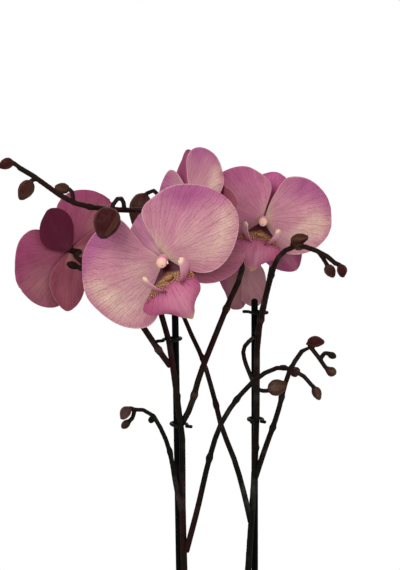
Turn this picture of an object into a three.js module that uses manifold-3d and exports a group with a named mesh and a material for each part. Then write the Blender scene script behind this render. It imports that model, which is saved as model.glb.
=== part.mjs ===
// Potted moth orchid in millimetres, +Z up, with the origin at the centre of the pot's underside.
// Two flower spikes, each with side branches, are held to two thin stakes by clips. Heights of the
// plant itself are measured from the surface of the bark, so a taller pot lifts the whole plant.
import * as THREE from 'three';
import Module from 'manifold-3d';
import { mergeVertices } from 'three/addons/utils/BufferGeometryUtils.js';

const wasm = await Module();
wasm.setup();

// Pot and bark
const POT_HEIGHT = 115;
const POT_TOP_RADIUS = 62;
const POT_FOOT_RADIUS = 46;
const POT_WALL = 3.5;
const POT_FLOOR = 5;
const RIM_HEIGHT = 9;
const RIM_OVERHANG = 2.5;
const BARK_BELOW_RIM = 12;
const BARK_BUMP = 2.2;
const BARK_LEVEL = POT_HEIGHT - BARK_BELOW_RIM;

// Space left between pieces that touch
const GAP = 0.3;

// Foliage
const CROWN_RADIUS = 9;
const CROWN_HEIGHT = 34;
const CROWN_DEPTH = 18;
const LEAF_LENGTH = 205;
const LEAF_WIDTH = 72;
const LEAF_THICKNESS = 2.6;
const ROOT_RADIUS = 2.7;

// Stakes and clips
const STAKE_RADIUS = 2;
const STAKE_HEIGHT = 367;
const STAKE_DEPTH = 80;
const CLIP_WIRE_RADIUS = 0.95;

// Stems
const SPIKE_RADIUS = 2.1;
const BRANCH_RADIUS = 1.7;
const PEDICEL_RADIUS = 1.15;
const STEM_SIDES = 6;

// Flowers at size 1
const PETAL_REACH = 48;
const PETAL_WIDTH = 60;
const SEPAL_REACH = 43;
const SEPAL_WIDTH = 29;
const TEPAL_ROOT = 3.7;
const TEPAL_THICKNESS = 1.3;
const SEPAL_BEHIND = 2.4;
const COLUMN_RADIUS = 3;
const COLUMN_LENGTH = 11;
const LIP_THICKNESS = 1.5;

const vec = (x, y, z) => new THREE.Vector3(x, y, z);
const degrees = THREE.MathUtils.degToRad;
const path = rows => new THREE.CatmullRomCurve3(rows.map(row => vec(...row)), false, 'centripetal');

// Value at t of a table of [position, value] rows, eased between the rows.
function sample(table, t) {
  const next = table.findIndex(row => row[0] >= t);
  if (next <= 0) return table[0][1];
  const [t0, v0] = table[next - 1];
  const [t1, v1] = table[next];
  const share = (t - t0) / (t1 - t0);
  return v0 + (v1 - v0) * share;
}

// Closed skin over a row of rings. Each ring runs anticlockwise about the direction of travel.
function loft(rings) {
  const sides = rings[0].length;
  const points = rings.flat();
  const triangles = [];
  for (let i = 0; i < rings.length - 1; i++) {
    for (let j = 0; j < sides; j++) {
      const a = i * sides + j;
      const b = i * sides + (j + 1) % sides;
      triangles.push(a, b, b + sides, a, b + sides, a + sides);
    }
  }
  const lastRing = (rings.length - 1) * sides;
  const firstCentre = points.length;
  const lastCentre = firstCentre + 1;
  points.push(middle(rings[0]), middle(rings[rings.length - 1]));
  for (let j = 0; j < sides; j++) {
    const k = (j + 1) % sides;
    triangles.push(firstCentre, k, j, lastCentre, lastRing + j, lastRing + k);
  }
  const geometry = new THREE.BufferGeometry();
  geometry.setAttribute('position', new THREE.Float32BufferAttribute(points.flatMap(p => p.toArray()), 3));
  geometry.setIndex(triangles);
  return geometry;
}

function middle(ring) {
  return ring.reduce((sum, p) => sum.add(p), vec(0, 0, 0)).divideScalar(ring.length);
}

// Ellipse of points about a centre, from the direction of one half-axis to that of the other.
function ellipse(centre, across, deep, sides) {
  return Array.from({ length: sides }, (_, j) => {
    const turn = 2 * Math.PI * j / sides;
    return centre.clone().addScaledVector(across, Math.cos(turn)).addScaledVector(deep, Math.sin(turn));
  });
}

// Round rod along a curve; radius is a number or a function of the share of the length.
function rod(curve, radius, stations, sides = STEM_SIDES) {
  const radiusAt = typeof radius === 'function' ? radius : () => radius;
  const { normals, binormals } = curve.computeFrenetFrames(stations, false);
  return loft(normals.map((normal, i) => {
    const r = radiusAt(i / stations);
    const centre = curve.getPointAt(i / stations);
    return ellipse(centre, normal.clone().multiplyScalar(r), binormals[i].clone().multiplyScalar(r), sides);
  }));
}

// Solid of revolution about Z from [radius, height] rows that start and end on the axis.
function turned(profile, segments) {
  const geometry = new THREE.LatheGeometry(profile.map(([r, z]) => new THREE.Vector2(r, z)), segments);
  return geometry.rotateX(Math.PI / 2);
}

function toManifold(geometry) {
  const bare = geometry.clone();
  bare.deleteAttribute('normal');
  bare.deleteAttribute('uv');
  const merged = mergeVertices(bare, 1e-4);
  return new wasm.Manifold(new wasm.Mesh({
    numProp: 3,
    vertProperties: Float32Array.from(merged.attributes.position.array),
    triVerts: Uint32Array.from(merged.index.array),
  }));
}

function fromManifold(solid) {
  const { vertProperties, triVerts } = solid.getMesh();
  const geometry = new THREE.BufferGeometry();
  geometry.setAttribute('position', new THREE.Float32BufferAttribute(vertProperties, 3));
  geometry.setIndex(Array.from(triVerts));
  return geometry;
}

function union(geometries) {
  return fromManifold(geometries.map(toManifold).reduce((sum, solid) => sum.add(solid)));
}

// What is left of a body when the tools are taken from it, without any chip that comes loose.
function cut(geometry, tools) {
  const rest = tools.map(toManifold).reduce((body, tool) => body.subtract(tool), toManifold(geometry));
  return fromManifold(rest.decompose().reduce((most, piece) => (piece.volume() > most.volume() ? piece : most)));
}

// Materials
const finish = (color, roughness) => new THREE.MeshStandardMaterial({ color, roughness, metalness: 0 });
const POT_FINISH = finish('#e9e5dd', 0.35);
const BARK_FINISH = finish('#5b4030', 0.9);
const LEAF_FINISH = finish('#2f5a2c', 0.4);
const CROWN_FINISH = finish('#52703a', 0.5);
const ROOT_FINISH = finish('#9aa58c', 0.7);
const STAKE_FINISH = finish('#0d0d0d', 0.5);
const CLIP_FINISH = finish('#1c2420', 0.4);
const STEM_FINISH = finish('#2b2620', 0.5);
const PETAL_FINISH = finish('#cb93a0', 0.6);
const SEPAL_FINISH = finish('#b4688a', 0.6);
const LIP_FINISH = finish('#bf6a96', 0.6);
const COLUMN_FINISH = finish('#dba89c', 0.5);

const plant = new THREE.Group();

// Names a body and lifts it by the height of the bark if it belongs to the plant.
function add(name, geometry, material, lift = BARK_LEVEL) {
  geometry.translate(0, 0, lift);
  geometry.computeVertexNormals();
  const mesh = new THREE.Mesh(geometry, material);
  mesh.name = name;
  plant.add(mesh);
}

// ---- Stems -------------------------------------------------------------------------------------

// Oval bud with its stalk. The stalk runs through its rows to the bud's centre.
function budOnStalk({ stalk, length, width }) {
  const curve = path(stalk);
  const tip = stalk[stalk.length - 1];
  const way = curve.getTangentAt(1);
  const centre = vec(...tip);
  const side = vec(-way.y, way.x, 0.001).normalize();
  const deep = way.clone().cross(side);
  const shape = [[-0.5, 0.14], [-0.4, 0.66], [-0.12, 1], [0.16, 0.94], [0.4, 0.5], [0.5, 0.1]];
  const bud = loft(shape.map(([along, share]) => ellipse(
    centre.clone().addScaledVector(way, along * length),
    side.clone().multiplyScalar(share * width / 2),
    deep.clone().multiplyScalar(share * width / 2),
    STEM_SIDES,
  )));
  const end = centre.clone().addScaledVector(way, -0.3 * length);
  const route = stalk.slice(0, -1).map(row => vec(...row));
  return [rod(new THREE.CatmullRomCurve3([...route, end], false, 'centripetal'), PEDICEL_RADIUS, 5, 5), bud];
}

// Short collar of a bract where the stem has a node.
function collar(curve, share, radius) {
  const centre = curve.getPointAt(share);
  const way = curve.getTangentAt(share);
  const side = way.clone().cross(vec(0, 1, 0)).normalize();
  const deep = way.clone().cross(side);
  const shape = [[-2, 1.02], [0.5, 1.36], [2.6, 1.02]];
  return loft(shape.map(([along, grow]) => ellipse(
    centre.clone().addScaledVector(way, along),
    side.clone().multiplyScalar(grow * radius),
    deep.clone().multiplyScalar(grow * radius),
    STEM_SIDES,
  )));
}

// Point of a curve nearest to a place beside it.
function nearestOn(curve, place) {
  const points = curve.getSpacedPoints(300);
  return points.reduce((best, p) => (p.distanceTo(place) < best.distanceTo(place) ? p : best));
}

// A stem is one body: its rod, collars, bud stalks, buds and the stalks of its flowers.
function stem({ rows, start, end, stations, nodes = [], buds = [], stalks = [] }) {
  const curve = path(rows);
  const radiusAt = share => start + (end - start) * share;
  const rooted = rows => [nearestOn(curve, vec(...rows[0])).toArray(), ...rows.slice(1)];
  const solids = [rod(curve, radiusAt, stations)];
  nodes.forEach(share => solids.push(collar(curve, share, radiusAt(share))));
  buds.forEach(bud => solids.push(...budOnStalk({ ...bud, stalk: rooted(bud.stalk) })));
  stalks.forEach(stalk => solids.push(rod(path(rooted(stalk)), share => PEDICEL_RADIUS + 0.6 * share, 8, 5)));
  return union(solids);
}

// The same rod grown by the gap, to cut a seat for it in a neighbour.
function clearance({ rows, start, end, stations }) {
  return rod(path(rows), share => start + (end - start) * share + GAP, stations);
}

// ---- Flowers -----------------------------------------------------------------------------------

// A flower's own frame: x to the right as it is looked at, y towards the dorsal sepal, z out of its face.
// Angles of the petals and the spread of the side sepals are measured from the dorsal sepal.
// A petal may be longer or broader by a share; the dorsal sepal's tip curls back.
const FLOWERS = {
  a: {
    centre: [-28, -38, 394], yaw: -8, pitch: 4, roll: 28, size: 1, spread: 117,
    dorsal: { reach: 28, curl: 14 }, left: { angle: -84, broad: 1.07 }, right: { angle: 67, long: 0.9 },
  },
  b: {
    centre: [29.5, 44, 413.5], yaw: -2, pitch: 3, roll: -13, size: 0.87, spread: 135,
    dorsal: { reach: 38, curl: 8 }, left: { angle: -76, long: 0.94, broad: 0.94 }, right: { angle: 76 },
  },
  c: {
    centre: [-14.5, 32, 425], yaw: -58, pitch: -6, roll: 28, size: 0.8, spread: 120,
    dorsal: { reach: 38, curl: 2 }, left: { angle: -78 }, right: { angle: 78 },
  },
  d: {
    centre: [-85, 22, 395.5], yaw: -145, pitch: 0, roll: -40, size: 0.82, spread: 130,
    dorsal: { reach: 38, curl: 8 }, left: { angle: -82 }, right: { angle: 82 },
  },
  e: {
    centre: [19.5, 90, 394.5], yaw: -120, pitch: 0, roll: -61, size: 0.88, spread: 120,
    dorsal: { reach: 35, curl: 10 }, left: { angle: -82 }, right: { angle: 80 },
  },
};

function flowerMatrix({ centre, yaw, pitch, roll, size }) {
  const matrix = new THREE.Matrix4().makeTranslation(...centre);
  const faceForward = new THREE.Matrix4().makeRotationX(Math.PI / 2);
  return matrix
    .multiply(faceForward)
    .multiply(new THREE.Matrix4().makeRotationY(degrees(yaw)))
    .multiply(new THREE.Matrix4().makeRotationX(degrees(pitch)))
    .multiply(new THREE.Matrix4().makeRotationZ(degrees(roll)))
    .multiply(new THREE.Matrix4().makeScale(size, size, size));
}

// Point behind a flower where its stalk ends, and one further back that leads into it.
function stalkEnd(flower) {
  const matrix = flowerMatrix(flower);
  return [vec(0, 0, -14), vec(0, 0, -3)].map(p => p.applyMatrix4(matrix).toArray());
}

const PETAL_OUTLINE = [
  [0, 0.09], [0.04, 0.28], [0.13, 0.6], [0.22, 0.82], [0.33, 0.97], [0.45, 1],
  [0.6, 0.95], [0.72, 0.85], [0.82, 0.71], [0.9, 0.55], [0.96, 0.36], [1, 0.14],
];
const SEPAL_OUTLINE = [
  [0, 0.16], [0.1, 0.42], [0.25, 0.74], [0.42, 0.97], [0.58, 1],
  [0.74, 0.85], [0.88, 0.52], [0.96, 0.26], [1, 0.1],
];
const TEPAL_SIDES = 8;
const TEPAL_STATIONS = [0, 0.05, 0.14, 0.3, 0.5, 0.7, 0.86, 0.95, 1];

// Petal or sepal at an angle from the dorsal direction. Its rim is cupped forward and its tip curls back.
function tepal({ angle, reach, width, outline, behind, cup, curl }) {
  const out = vec(Math.sin(degrees(angle)), Math.cos(degrees(angle)), 0);
  const across = vec(0, 0, 1).cross(out);
  return loft(TEPAL_STATIONS.map(t => {
    const along = TEPAL_ROOT + t * (reach - TEPAL_ROOT);
    const half = 0.5 * width * sample(outline, t);
    const level = -behind - curl * t * t;
    const thick = 0.5 * TEPAL_THICKNESS * (1 - 0.4 * t);
    return Array.from({ length: TEPAL_SIDES }, (_, j) => {
      const turn = 2 * Math.PI * j / TEPAL_SIDES;
      const side = Math.cos(turn);
      const rise = cup * (half * side / (0.5 * width)) ** 2 + thick * Math.sin(turn);
      return out.clone().multiplyScalar(along).addScaledVector(across, half * side).setZ(level + rise);
    });
  }));
}

// Lip: a broad middle lobe that slopes forward and down, with two side lobes standing up beside the column.
const LIP_ROWS = [
  [-5, 4.6, 2.2], [-9, 7.2, 6], [-13, 9.6, 12], [-18, 11.4, 16.5], [-23, 12.2, 17], [-27.5, 11.8, 12.5],
  [-30, 11.2, 7.5], [-34, 9.6, 5.4], [-37, 7.4, 2.2],
];
const SIDE_LOBE_ROWS = [
  [7.5, -13.5, 8.6, 3.2], [10, -11.5, 11.5, 4.2], [11.6, -8.6, 14, 3.6], [11.4, -6, 15.6, 1.6],
];

function lip() {
  const middleLobe = loft(LIP_ROWS.map(([y, z, half]) => ellipse(
    vec(0, y, z), vec(half, 0, 0), vec(0, 0.25, 0.97).multiplyScalar(LIP_THICKNESS / 2), TEPAL_SIDES,
  )));
  const sideLobes = [-1, 1].map(hand => {
    const rings = SIDE_LOBE_ROWS.map(([x, y, z, half]) => ellipse(
      vec(hand * x, y, z), vec(0, 0.7 * half, -0.7 * half), vec(hand * LIP_THICKNESS / 2, 0, 0), STEM_SIDES,
    ));
    return loft(hand > 0 ? rings.map(ring => ring.reverse()) : rings);
  });
  return union([middleLobe, ...sideLobes]);
}

function column() {
  const shape = [[0, 0.75], [0.1, 0.92], [0.35, 1], [0.6, 1.08], [0.82, 0.95], [0.94, 0.62], [1, 0.22]];
  return loft(shape.map(([t, share]) => ellipse(
    vec(0, -1.6 * t * t, COLUMN_LENGTH * t - 0.4),
    vec(share * COLUMN_RADIUS, 0, 0),
    vec(0, share * COLUMN_RADIUS, 0),
    STEM_SIDES,
  )));
}

// Web that joins a lip to the column's foot, for flowers whose lip and column are one body.
function lipClaw() {
  const rows = [[-1, 2.2, 2], [-3.2, 3.4, 2], [-6.5, 5.6, 2.6]];
  return loft(rows.map(([y, z, half]) => ellipse(vec(0, y, z), vec(half, 0, 0), vec(0, 0, 1), STEM_SIDES)));
}

const PETAL = { reach: PETAL_REACH, width: PETAL_WIDTH, outline: PETAL_OUTLINE, behind: 0, cup: 1.5, curl: 3.5 };
const SEPAL = {
  reach: SEPAL_REACH, width: SEPAL_WIDTH, outline: SEPAL_OUTLINE, behind: SEPAL_BEHIND, cup: 0.6, curl: 6,
};
const petal = ({ angle, long = 1, broad = 1 }) => (
  { ...PETAL, angle, reach: PETAL_REACH * long, width: PETAL_WIDTH * broad }
);
const tepalsOf = ({ left, right, spread, dorsal }) => ({
  petal_left: petal(left),
  petal_right: petal(right),
  sepal_dorsal: { ...SEPAL, angle: 0, ...dorsal },
  sepal_left: { ...SEPAL, angle: -spread },
  sepal_right: { ...SEPAL, angle: spread },
});

function addFlower(letter, separateLip) {
  const matrix = flowerMatrix(FLOWERS[letter]);
  const place = (name, geometry, material) => add(`flower_${letter}_${name}`, geometry.applyMatrix4(matrix), material);
  for (const [name, spec] of Object.entries(tepalsOf(FLOWERS[letter]))) {
    place(name, tepal(spec), name.startsWith('petal') ? PETAL_FINISH : SEPAL_FINISH);
  }
  if (separateLip) {
    place('lip', lip(), LIP_FINISH);
    place('column', column(), COLUMN_FINISH);
  } else {
    place('lip_and_column', union([lip(), lipClaw(), column()]), LIP_FINISH);
  }
}

addFlower('a', true);
addFlower('b', true);
addFlower('c', false);
addFlower('d', false);
addFlower('e', false);

// ---- Spikes and their branches -----------------------------------------------------------------

const SPIKE_LEFT = {
  rows: [
    [-3, -10.5, 6], [-6, -13, 45], [-11, -14, 100], [-14, -13, 150], [-17, -11.5, 200], [-18.5, -8.5, 250],
    [-19, -6, 295], [-21, -6, 308], [-23, -6, 323], [-25, -6, 337], [-27, -6, 349], [-30, -6, 359],
    [-35, -5, 372], [-45, -1, 379.5], [-58, 3, 381.5], [-70, 5, 384], [-78, 6, 386.5],
  ],
  start: SPIKE_RADIUS,
  end: 1.5,
  stations: 22,
  nodes: [0.16, 0.44, 0.74],
  buds: [{ stalk: [[-76, 5.8, 385.7], [-79, 6, 387], [-82, 6.3, 388]], length: 7, width: 4.6 }],
};
const BRANCH_LEFT_HIGH = {
  rows: [
    [-25.5, -5.5, 331], [-31, -8, 339], [-40, -11, 353], [-53, -14, 373], [-62, -15, 382], [-70, -12, 388],
    [-77, -6, 392],
  ],
  start: BRANCH_RADIUS,
  end: 1.5,
  stations: 11,
  nodes: [0.14, 0.56],
  stalks: [[[-76.5, -6.5, 391.7], [-79.5, -1, 393.5], ...stalkEnd(FLOWERS.d)]],
};
const BRANCH_LEFT_ARCH = {
  rows: [
    [-19.5, -5, 297], [-14, -2, 307], [-9, 2, 324], [-2, 3, 342], [8.5, 3, 368], [15, 3, 383], [15.5, 1, 391],
    [11.5, -2, 399], [7, -5, 409], [3, -7, 419], [-3, -8, 427], [-9, -6, 430.5], [-15, -4, 430], [-27, -5, 424],
    [-38, -13, 420],
    [-50, -20, 420], [-63, -28, 421], [-77, -32, 424], [-87, -36, 430], [-96, -38, 437], [-106, -38, 443],
  ],
  start: BRANCH_RADIUS,
  end: 1.3,
  stations: 30,
  nodes: [0.07, 0.27, 0.55, 0.83],
  buds: [
    { stalk: [[-50, -21, 420], [-51, -28, 426], [-54.5, -39, 425], [-58.5, -45, 413.5]], length: 17, width: 15 },
    { stalk: [[-33, -9, 421], [-32, -3, 428], [-36, 1, 431], [-41, 3, 427], [-43, 4, 420]], length: 19, width: 13 },
    { stalk: [[-77, -32, 424], [-79, -30, 431], [-84, -28, 432]], length: 8, width: 6 },
    { stalk: [[-96, -38, 437], [-99, -41, 436], [-102, -42, 431]], length: 11, width: 8.5 },
    { stalk: [[-105, -38, 442], [-110, -38, 446], [-113, -38, 445]], length: 8, width: 6 },
  ],
  stalks: [
    [[-15, -4, 430], [-21, -8, 424], [-25, -14, 408], ...stalkEnd(FLOWERS.a)],
    [[9.5, -3, 403], [11, 8, 412], [6, 24, 420], ...stalkEnd(FLOWERS.c)],
  ],
};
const BRANCH_LEFT_LOW = {
  rows: [
    [-16.5, -11, 225], [-10, -11, 250], [-3, -11, 280], [3, -10, 298], [11, -10, 311], [21, -8, 322],
    [31, -2, 328], [39, 4, 329], [48, 8, 326], [55, 10, 320], [58, 11, 316],
  ],
  start: BRANCH_RADIUS,
  end: 1.1,
  stations: 16,
  nodes: [0.36, 0.6, 0.84],
  buds: [
    { stalk: [[21, -8, 322], [25, -10, 318], [30, -12, 318], [35, -13, 320]], length: 10.5, width: 9.5 },
    { stalk: [[44, 6.5, 328], [45, 9, 327], [47, 11, 325.5]], length: 6, width: 6 },
    { stalk: [[57, 10.5, 318], [58, 11, 316], [59.5, 11, 313]], length: 8, width: 5.5 },
  ],
};
const BRANCH_LEFT_SIDE = {
  rows: [
    [-18.3, -9, 245], [-22, -12, 262], [-26, -15, 285], [-31, -17, 298], [-36, -18, 306], [-42, -22, 309],
    [-46, -26, 309.5],
  ],
  start: 1.5,
  end: 1,
  stations: 10,
  nodes: [0.5],
  buds: [
    { stalk: [[-45, -25, 309.5], [-48, -27, 310.5], [-50, -28, 308]], length: 7.5, width: 6 },
    { stalk: [[-45, -25, 309.5], [-46, -25.5, 305], [-50, -25, 301]], length: 6, width: 4.5 },
    { stalk: [[-35, -17.7, 305], [-35.5, -17, 303.5], [-36, -16, 302]], length: 4.5, width: 3.6 },
  ],
};
const SPIKE_RIGHT = {
  rows: [
    [3, 10.5, 6], [6, 14, 45], [12, 17, 100], [17, 19, 160], [21, 20, 220], [24, 21, 270], [25, 22, 300],
    [25, 22, 325], [25.2, 22, 340], [25.8, 22.5, 350], [28.2, 25, 361], [31.4, 34, 371], [34.4, 46, 380],
    [35.5, 57, 389], [33, 64, 401],
  ],
  start: SPIKE_RADIUS,
  end: 1.5,
  stations: 20,
  nodes: [0.16, 0.42, 0.66],
  stalks: [
    [[33.3, 63.5, 400], [31.5, 64, 409], ...stalkEnd(FLOWERS.b)],
    [[35.4, 55, 387], [36, 65, 391], [34, 76, 394], ...stalkEnd(FLOWERS.e)],
  ],
};
const BRANCH_RIGHT_HIGH = {
  rows: [
    [25.1, 22, 346], [27.5, 18, 357], [31, 9, 376], [36, -3, 393], [43, -11, 399], [50, -16, 399.5],
    [57, -19, 397], [64, -21, 393], [67, -22, 390],
  ],
  start: BRANCH_RADIUS,
  end: 1.2,
  stations: 14,
  nodes: [0.1, 0.42, 0.74],
  buds: [
    { stalk: [[43, -11, 399], [43.5, -12, 402], [47, -14, 403.5]], length: 10, width: 6.5 },
    { stalk: [[66.5, -22, 391], [69, -22.5, 389.5], [70, -22.5, 386.5]], length: 7, width: 5.6 },
    { stalk: [[57, -19, 396.5], [61, -18, 391.5], [64, -17, 386]], length: 7.5, width: 6.2 },
  ],
};
const BRANCH_RIGHT_LOW = {
  rows: [
    [23.4, 21, 258], [27, 19, 270], [31, 13, 284], [34, 8, 294], [37, 4, 305], [40, 0, 319], [43.5, -4, 330],
    [48, -7, 338], [52.5, -9, 343.5], [55, -12, 341], [59, -15, 336], [62, -17, 331.5],
  ],
  start: BRANCH_RADIUS,
  end: 1.1,
  stations: 15,
  nodes: [0.34, 0.52, 0.68],
  buds: [
    { stalk: [[52, -9, 343.5], [53.5, -9, 345.5], [57, -10, 345.5]], length: 8.5, width: 6.5 },
    { stalk: [[58.5, -15, 336], [62, -15.5, 340], [65.5, -16, 338.5]], length: 5, width: 4 },
    { stalk: [[61, -16.6, 332.5], [62.5, -17, 331], [65, -17, 329.5]], length: 6.5, width: 5.4 },
  ],
};
const BRANCH_RIGHT_CROSS = {
  rows: [
    [22, 20, 232], [18, 17, 250], [12, 13, 272], [4, 12, 293], [0, 13, 309], [-4, 14, 323], [-7, 14, 333],
    [-12, 14, 343], [-16, 14, 353], [-20, 15, 361], [-25, 16, 369], [-29, 17, 376],
  ],
  start: BRANCH_RADIUS,
  end: 1.1,
  stations: 14,
  nodes: [0.5, 0.68],
  buds: [
    { stalk: [[-28, 17, 374], [-32, 17, 378], [-36, 17, 378]], length: 9, width: 6.5 },
  ],
};
const SHOOT_RIGHT = {
  rows: [[25, 21.5, 312], [22, 19, 320], [17.5, 18.5, 332], [17, 19.5, 338], [19.5, 20.5, 341.5], [23, 21.8, 344.5]],
  start: 1.25,
  end: 1.15,
  stations: 10,
};

// A side stem springs from a parent, which keeps a gap around itself.
function addStems(parentName, parent, children) {
  add(parentName, stem(parent), STEM_FINISH);
  for (const [name, child] of Object.entries(children)) {
    add(name, cut(stem(child), [clearance(parent)]), STEM_FINISH);
  }
}

addStems('spike_left', SPIKE_LEFT, {
  branch_left_high: BRANCH_LEFT_HIGH,
  branch_left_arch: BRANCH_LEFT_ARCH,
  branch_left_low: BRANCH_LEFT_LOW,
  branch_left_side: BRANCH_LEFT_SIDE,
});
addStems('spike_right', SPIKE_RIGHT, {
  branch_right_high: BRANCH_RIGHT_HIGH,
  branch_right_low: BRANCH_RIGHT_LOW,
  branch_right_cross: BRANCH_RIGHT_CROSS,
  shoot_right: SHOOT_RIGHT,
});

// ---- Stakes and clips --------------------------------------------------------------------------

const stakeLine = (foot, head) => {
  const lean = vec(...head).sub(vec(...foot)).divideScalar(head[2] - foot[2]);
  const at = height => vec(...foot).addScaledVector(lean, height - foot[2]);
  return { at, line: new THREE.LineCurve3(at(-STAKE_DEPTH), at(STAKE_HEIGHT)) };
};
const STAKE_LEFT = stakeLine([-17, -15, 0], [-23.3, 6, 380]);
const STAKE_RIGHT = stakeLine([25, 26, 0], [23.8, 29.5, 380]);
const stake = ({ line }, grow = 0) => rod(line, STAKE_RADIUS + grow, 4, 10);

add('stake_left', stake(STAKE_LEFT), STAKE_FINISH);
add('stake_right', stake(STAKE_RIGHT), STAKE_FINISH);

// Wire clip: an open oval round a stake and the stem beside it, with its two ends turned out as finger tabs.
function clip({ closedEnd, openEnd, tabs }) {
  const centre = closedEnd.clone().add(openEnd).divideScalar(2);
  const reach = openEnd.clone().sub(closedEnd).setZ(0);
  const long = reach.clone().normalize();
  const wide = vec(-long.y, long.x, 0);
  const room = Math.max(SPIKE_RADIUS, STAKE_RADIUS) + GAP + CLIP_WIRE_RADIUS;
  const halfLong = reach.length() / 2 + room;
  const halfWide = room + 0.9;
  const start = degrees(25);
  const steps = 14;
  const rows = Array.from({ length: steps + 1 }, (_, i) => {
    const turn = start + (2 * Math.PI - 2 * start) * i / steps;
    return centre.clone()
      .addScaledVector(long, halfLong * Math.cos(turn))
      .addScaledVector(wide, halfWide * Math.sin(turn));
  });
  const flare = hand => centre.clone().addScaledVector(long, halfLong + tabs).addScaledVector(wide, hand * halfWide);
  const curve = new THREE.CatmullRomCurve3([flare(1), ...rows, flare(-1)], false, 'centripetal');
  return rod(curve, CLIP_WIRE_RADIUS, 22, 5);
}

// Point of a stem's route at a height.
const atHeight = (rows, height) => {
  const points = path(rows).getSpacedPoints(300);
  const best = points.reduce((near, p) => (Math.abs(p.z - height) < Math.abs(near.z - height) ? p : near));
  return best.setZ(height);
};
const CLIPS = {
  clip_left_upper: { pole: STAKE_LEFT, rows: SPIKE_LEFT.rows, height: 346, tabs: 4.2 },
  clip_left_lower: { pole: STAKE_LEFT, rows: SPIKE_LEFT.rows, height: 297, tabs: 2.5 },
  clip_right_upper: { pole: STAKE_RIGHT, rows: SPIKE_RIGHT.rows, height: 359, tabs: 2.5, tabsBehind: true },
  clip_right_lower: { pole: STAKE_RIGHT, rows: SPIKE_RIGHT.rows, height: 295, tabs: 3 },
};
for (const [name, { pole, rows, height, tabs, tabsBehind }] of Object.entries(CLIPS)) {
  const ends = [pole.at(height), atHeight(rows, height)];
  if (tabsBehind) ends.reverse();
  add(name, clip({ closedEnd: ends[0], openEnd: ends[1], tabs }), CLIP_FINISH);
}

// ---- Crown, leaves and roots -------------------------------------------------------------------

const crownProfile = grow => [
  [0, -CROWN_DEPTH - grow], [CROWN_RADIUS * 0.7 + grow, -CROWN_DEPTH - grow], [CROWN_RADIUS + grow, -4],
  [CROWN_RADIUS + grow, CROWN_HEIGHT * 0.4], [CROWN_RADIUS * 0.8 + grow, CROWN_HEIGHT * 0.8],
  [CROWN_RADIUS * 0.35 + grow, CROWN_HEIGHT + grow], [0, CROWN_HEIGHT + grow],
];
const crown = grow => turned(crownProfile(grow), 14);
const crownSeat = crown(GAP);

const LEAF_OUTLINE = [[0, 0.3], [0.12, 0.4], [0.3, 0.78], [0.55, 1], [0.78, 0.92], [0.92, 0.62], [0.98, 0.34], [1, 0.12]];
const LEAF_STATIONS = 10;
const LEAF_SIDES = 8;
const LEAF_KEEL = 0.16;

// Leaf that leaves the crown at a height, rises, and arches over towards its tip.
function leaf({ heading, length, width, base, rise, droop, edges = 1 }) {
  const out = vec(Math.cos(degrees(heading)), Math.sin(degrees(heading)), 0);
  const across = vec(0, 0, 1).cross(out);
  const spine = path([0, 0.25, 0.5, 0.75, 1].map(t => {
    const height = base + length * (rise * t - droop * t * t * t);
    return out.clone().multiplyScalar(3 + length * 0.86 * t).setZ(height).toArray();
  }));
  return loft(Array.from({ length: LEAF_STATIONS + 1 }, (_, i) => {
    const t = i / LEAF_STATIONS;
    const normal = spine.getTangentAt(t).cross(across);
    const half = 0.5 * width * sample(LEAF_OUTLINE, t);
    const thick = 0.5 * LEAF_THICKNESS * (1 - 0.35 * t);
    return Array.from({ length: LEAF_SIDES }, (_, j) => {
      const turn = 2 * Math.PI * j / LEAF_SIDES;
      const side = Math.cos(turn);
      const lift = edges * LEAF_KEEL * half * Math.abs(side) + thick * Math.sin(turn);
      return spine.getPointAt(t).addScaledVector(across, half * side).addScaledVector(normal, lift);
    });
  }));
}

const LEAVES = {
  leaf_1: { heading: -24, length: LEAF_LENGTH, width: LEAF_WIDTH, base: 5, rise: 0.34, droop: 0.42 },
  leaf_2: { heading: 162, length: LEAF_LENGTH * 0.96, width: LEAF_WIDTH, base: 9, rise: 0.4, droop: 0.44 },
  leaf_3: { heading: -12, length: LEAF_LENGTH * 0.84, width: LEAF_WIDTH * 0.94, base: 14, rise: 0.62, droop: 0.4 },
  leaf_4: { heading: 152, length: LEAF_LENGTH * 0.72, width: LEAF_WIDTH * 0.86, base: 19, rise: 0.74, droop: 0.36 },
  leaf_5: { heading: -20, length: LEAF_LENGTH * 0.44, width: LEAF_WIDTH * 0.6, base: 24, rise: 1.2, droop: 0.2 },
};

const leafSeats = [crownSeat, clearance(SPIKE_LEFT), clearance(SPIKE_RIGHT), stake(STAKE_LEFT, GAP), stake(STAKE_RIGHT, GAP)];

add('crown', cut(crown(0), [clearance(SPIKE_LEFT), clearance(SPIKE_RIGHT)]), CROWN_FINISH);
for (const [name, spec] of Object.entries(LEAVES)) {
  add(name, cut(leaf(spec), leafSeats.map(seat => seat.clone())), LEAF_FINISH);
}

// Aerial roots: two dive back into the bark, one climbs over the rim and hangs outside the pot.
const rimReach = POT_TOP_RADIUS + RIM_OVERHANG + ROOT_RADIUS + GAP;
const overRim = BARK_BELOW_RIM + ROOT_RADIUS + 1;
const ROOTS = {
  root_1: [[4, -6, -6], [10, -20, 8], [14, -38, overRim], [17, -52, overRim + 3], [19, -rimReach - 1, overRim - 1],
    [20, -rimReach - 5, -8], [18, -rimReach - 4, -26], [13, -rimReach - 3, -42]],
  root_2: [[-5, 6, -6], [-16, 18, 8], [-28, 30, 7], [-33, 35, -10], [-33, 35, -26]],
  root_3: [[-4, -6, -8], [-16, -22, 5], [-28, -34, 3], [-33, -38, -12], [-33, -38, -28]],
};
const rootRod = (rows, grow) => rod(path(rows), share => ROOT_RADIUS * (1 - 0.25 * share) + grow, 16);
for (const [name, rows] of Object.entries(ROOTS)) {
  add(name, cut(rootRod(rows, 0), [crownSeat]), ROOT_FINISH);
}

// ---- Pot and bark ------------------------------------------------------------------------------

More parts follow.
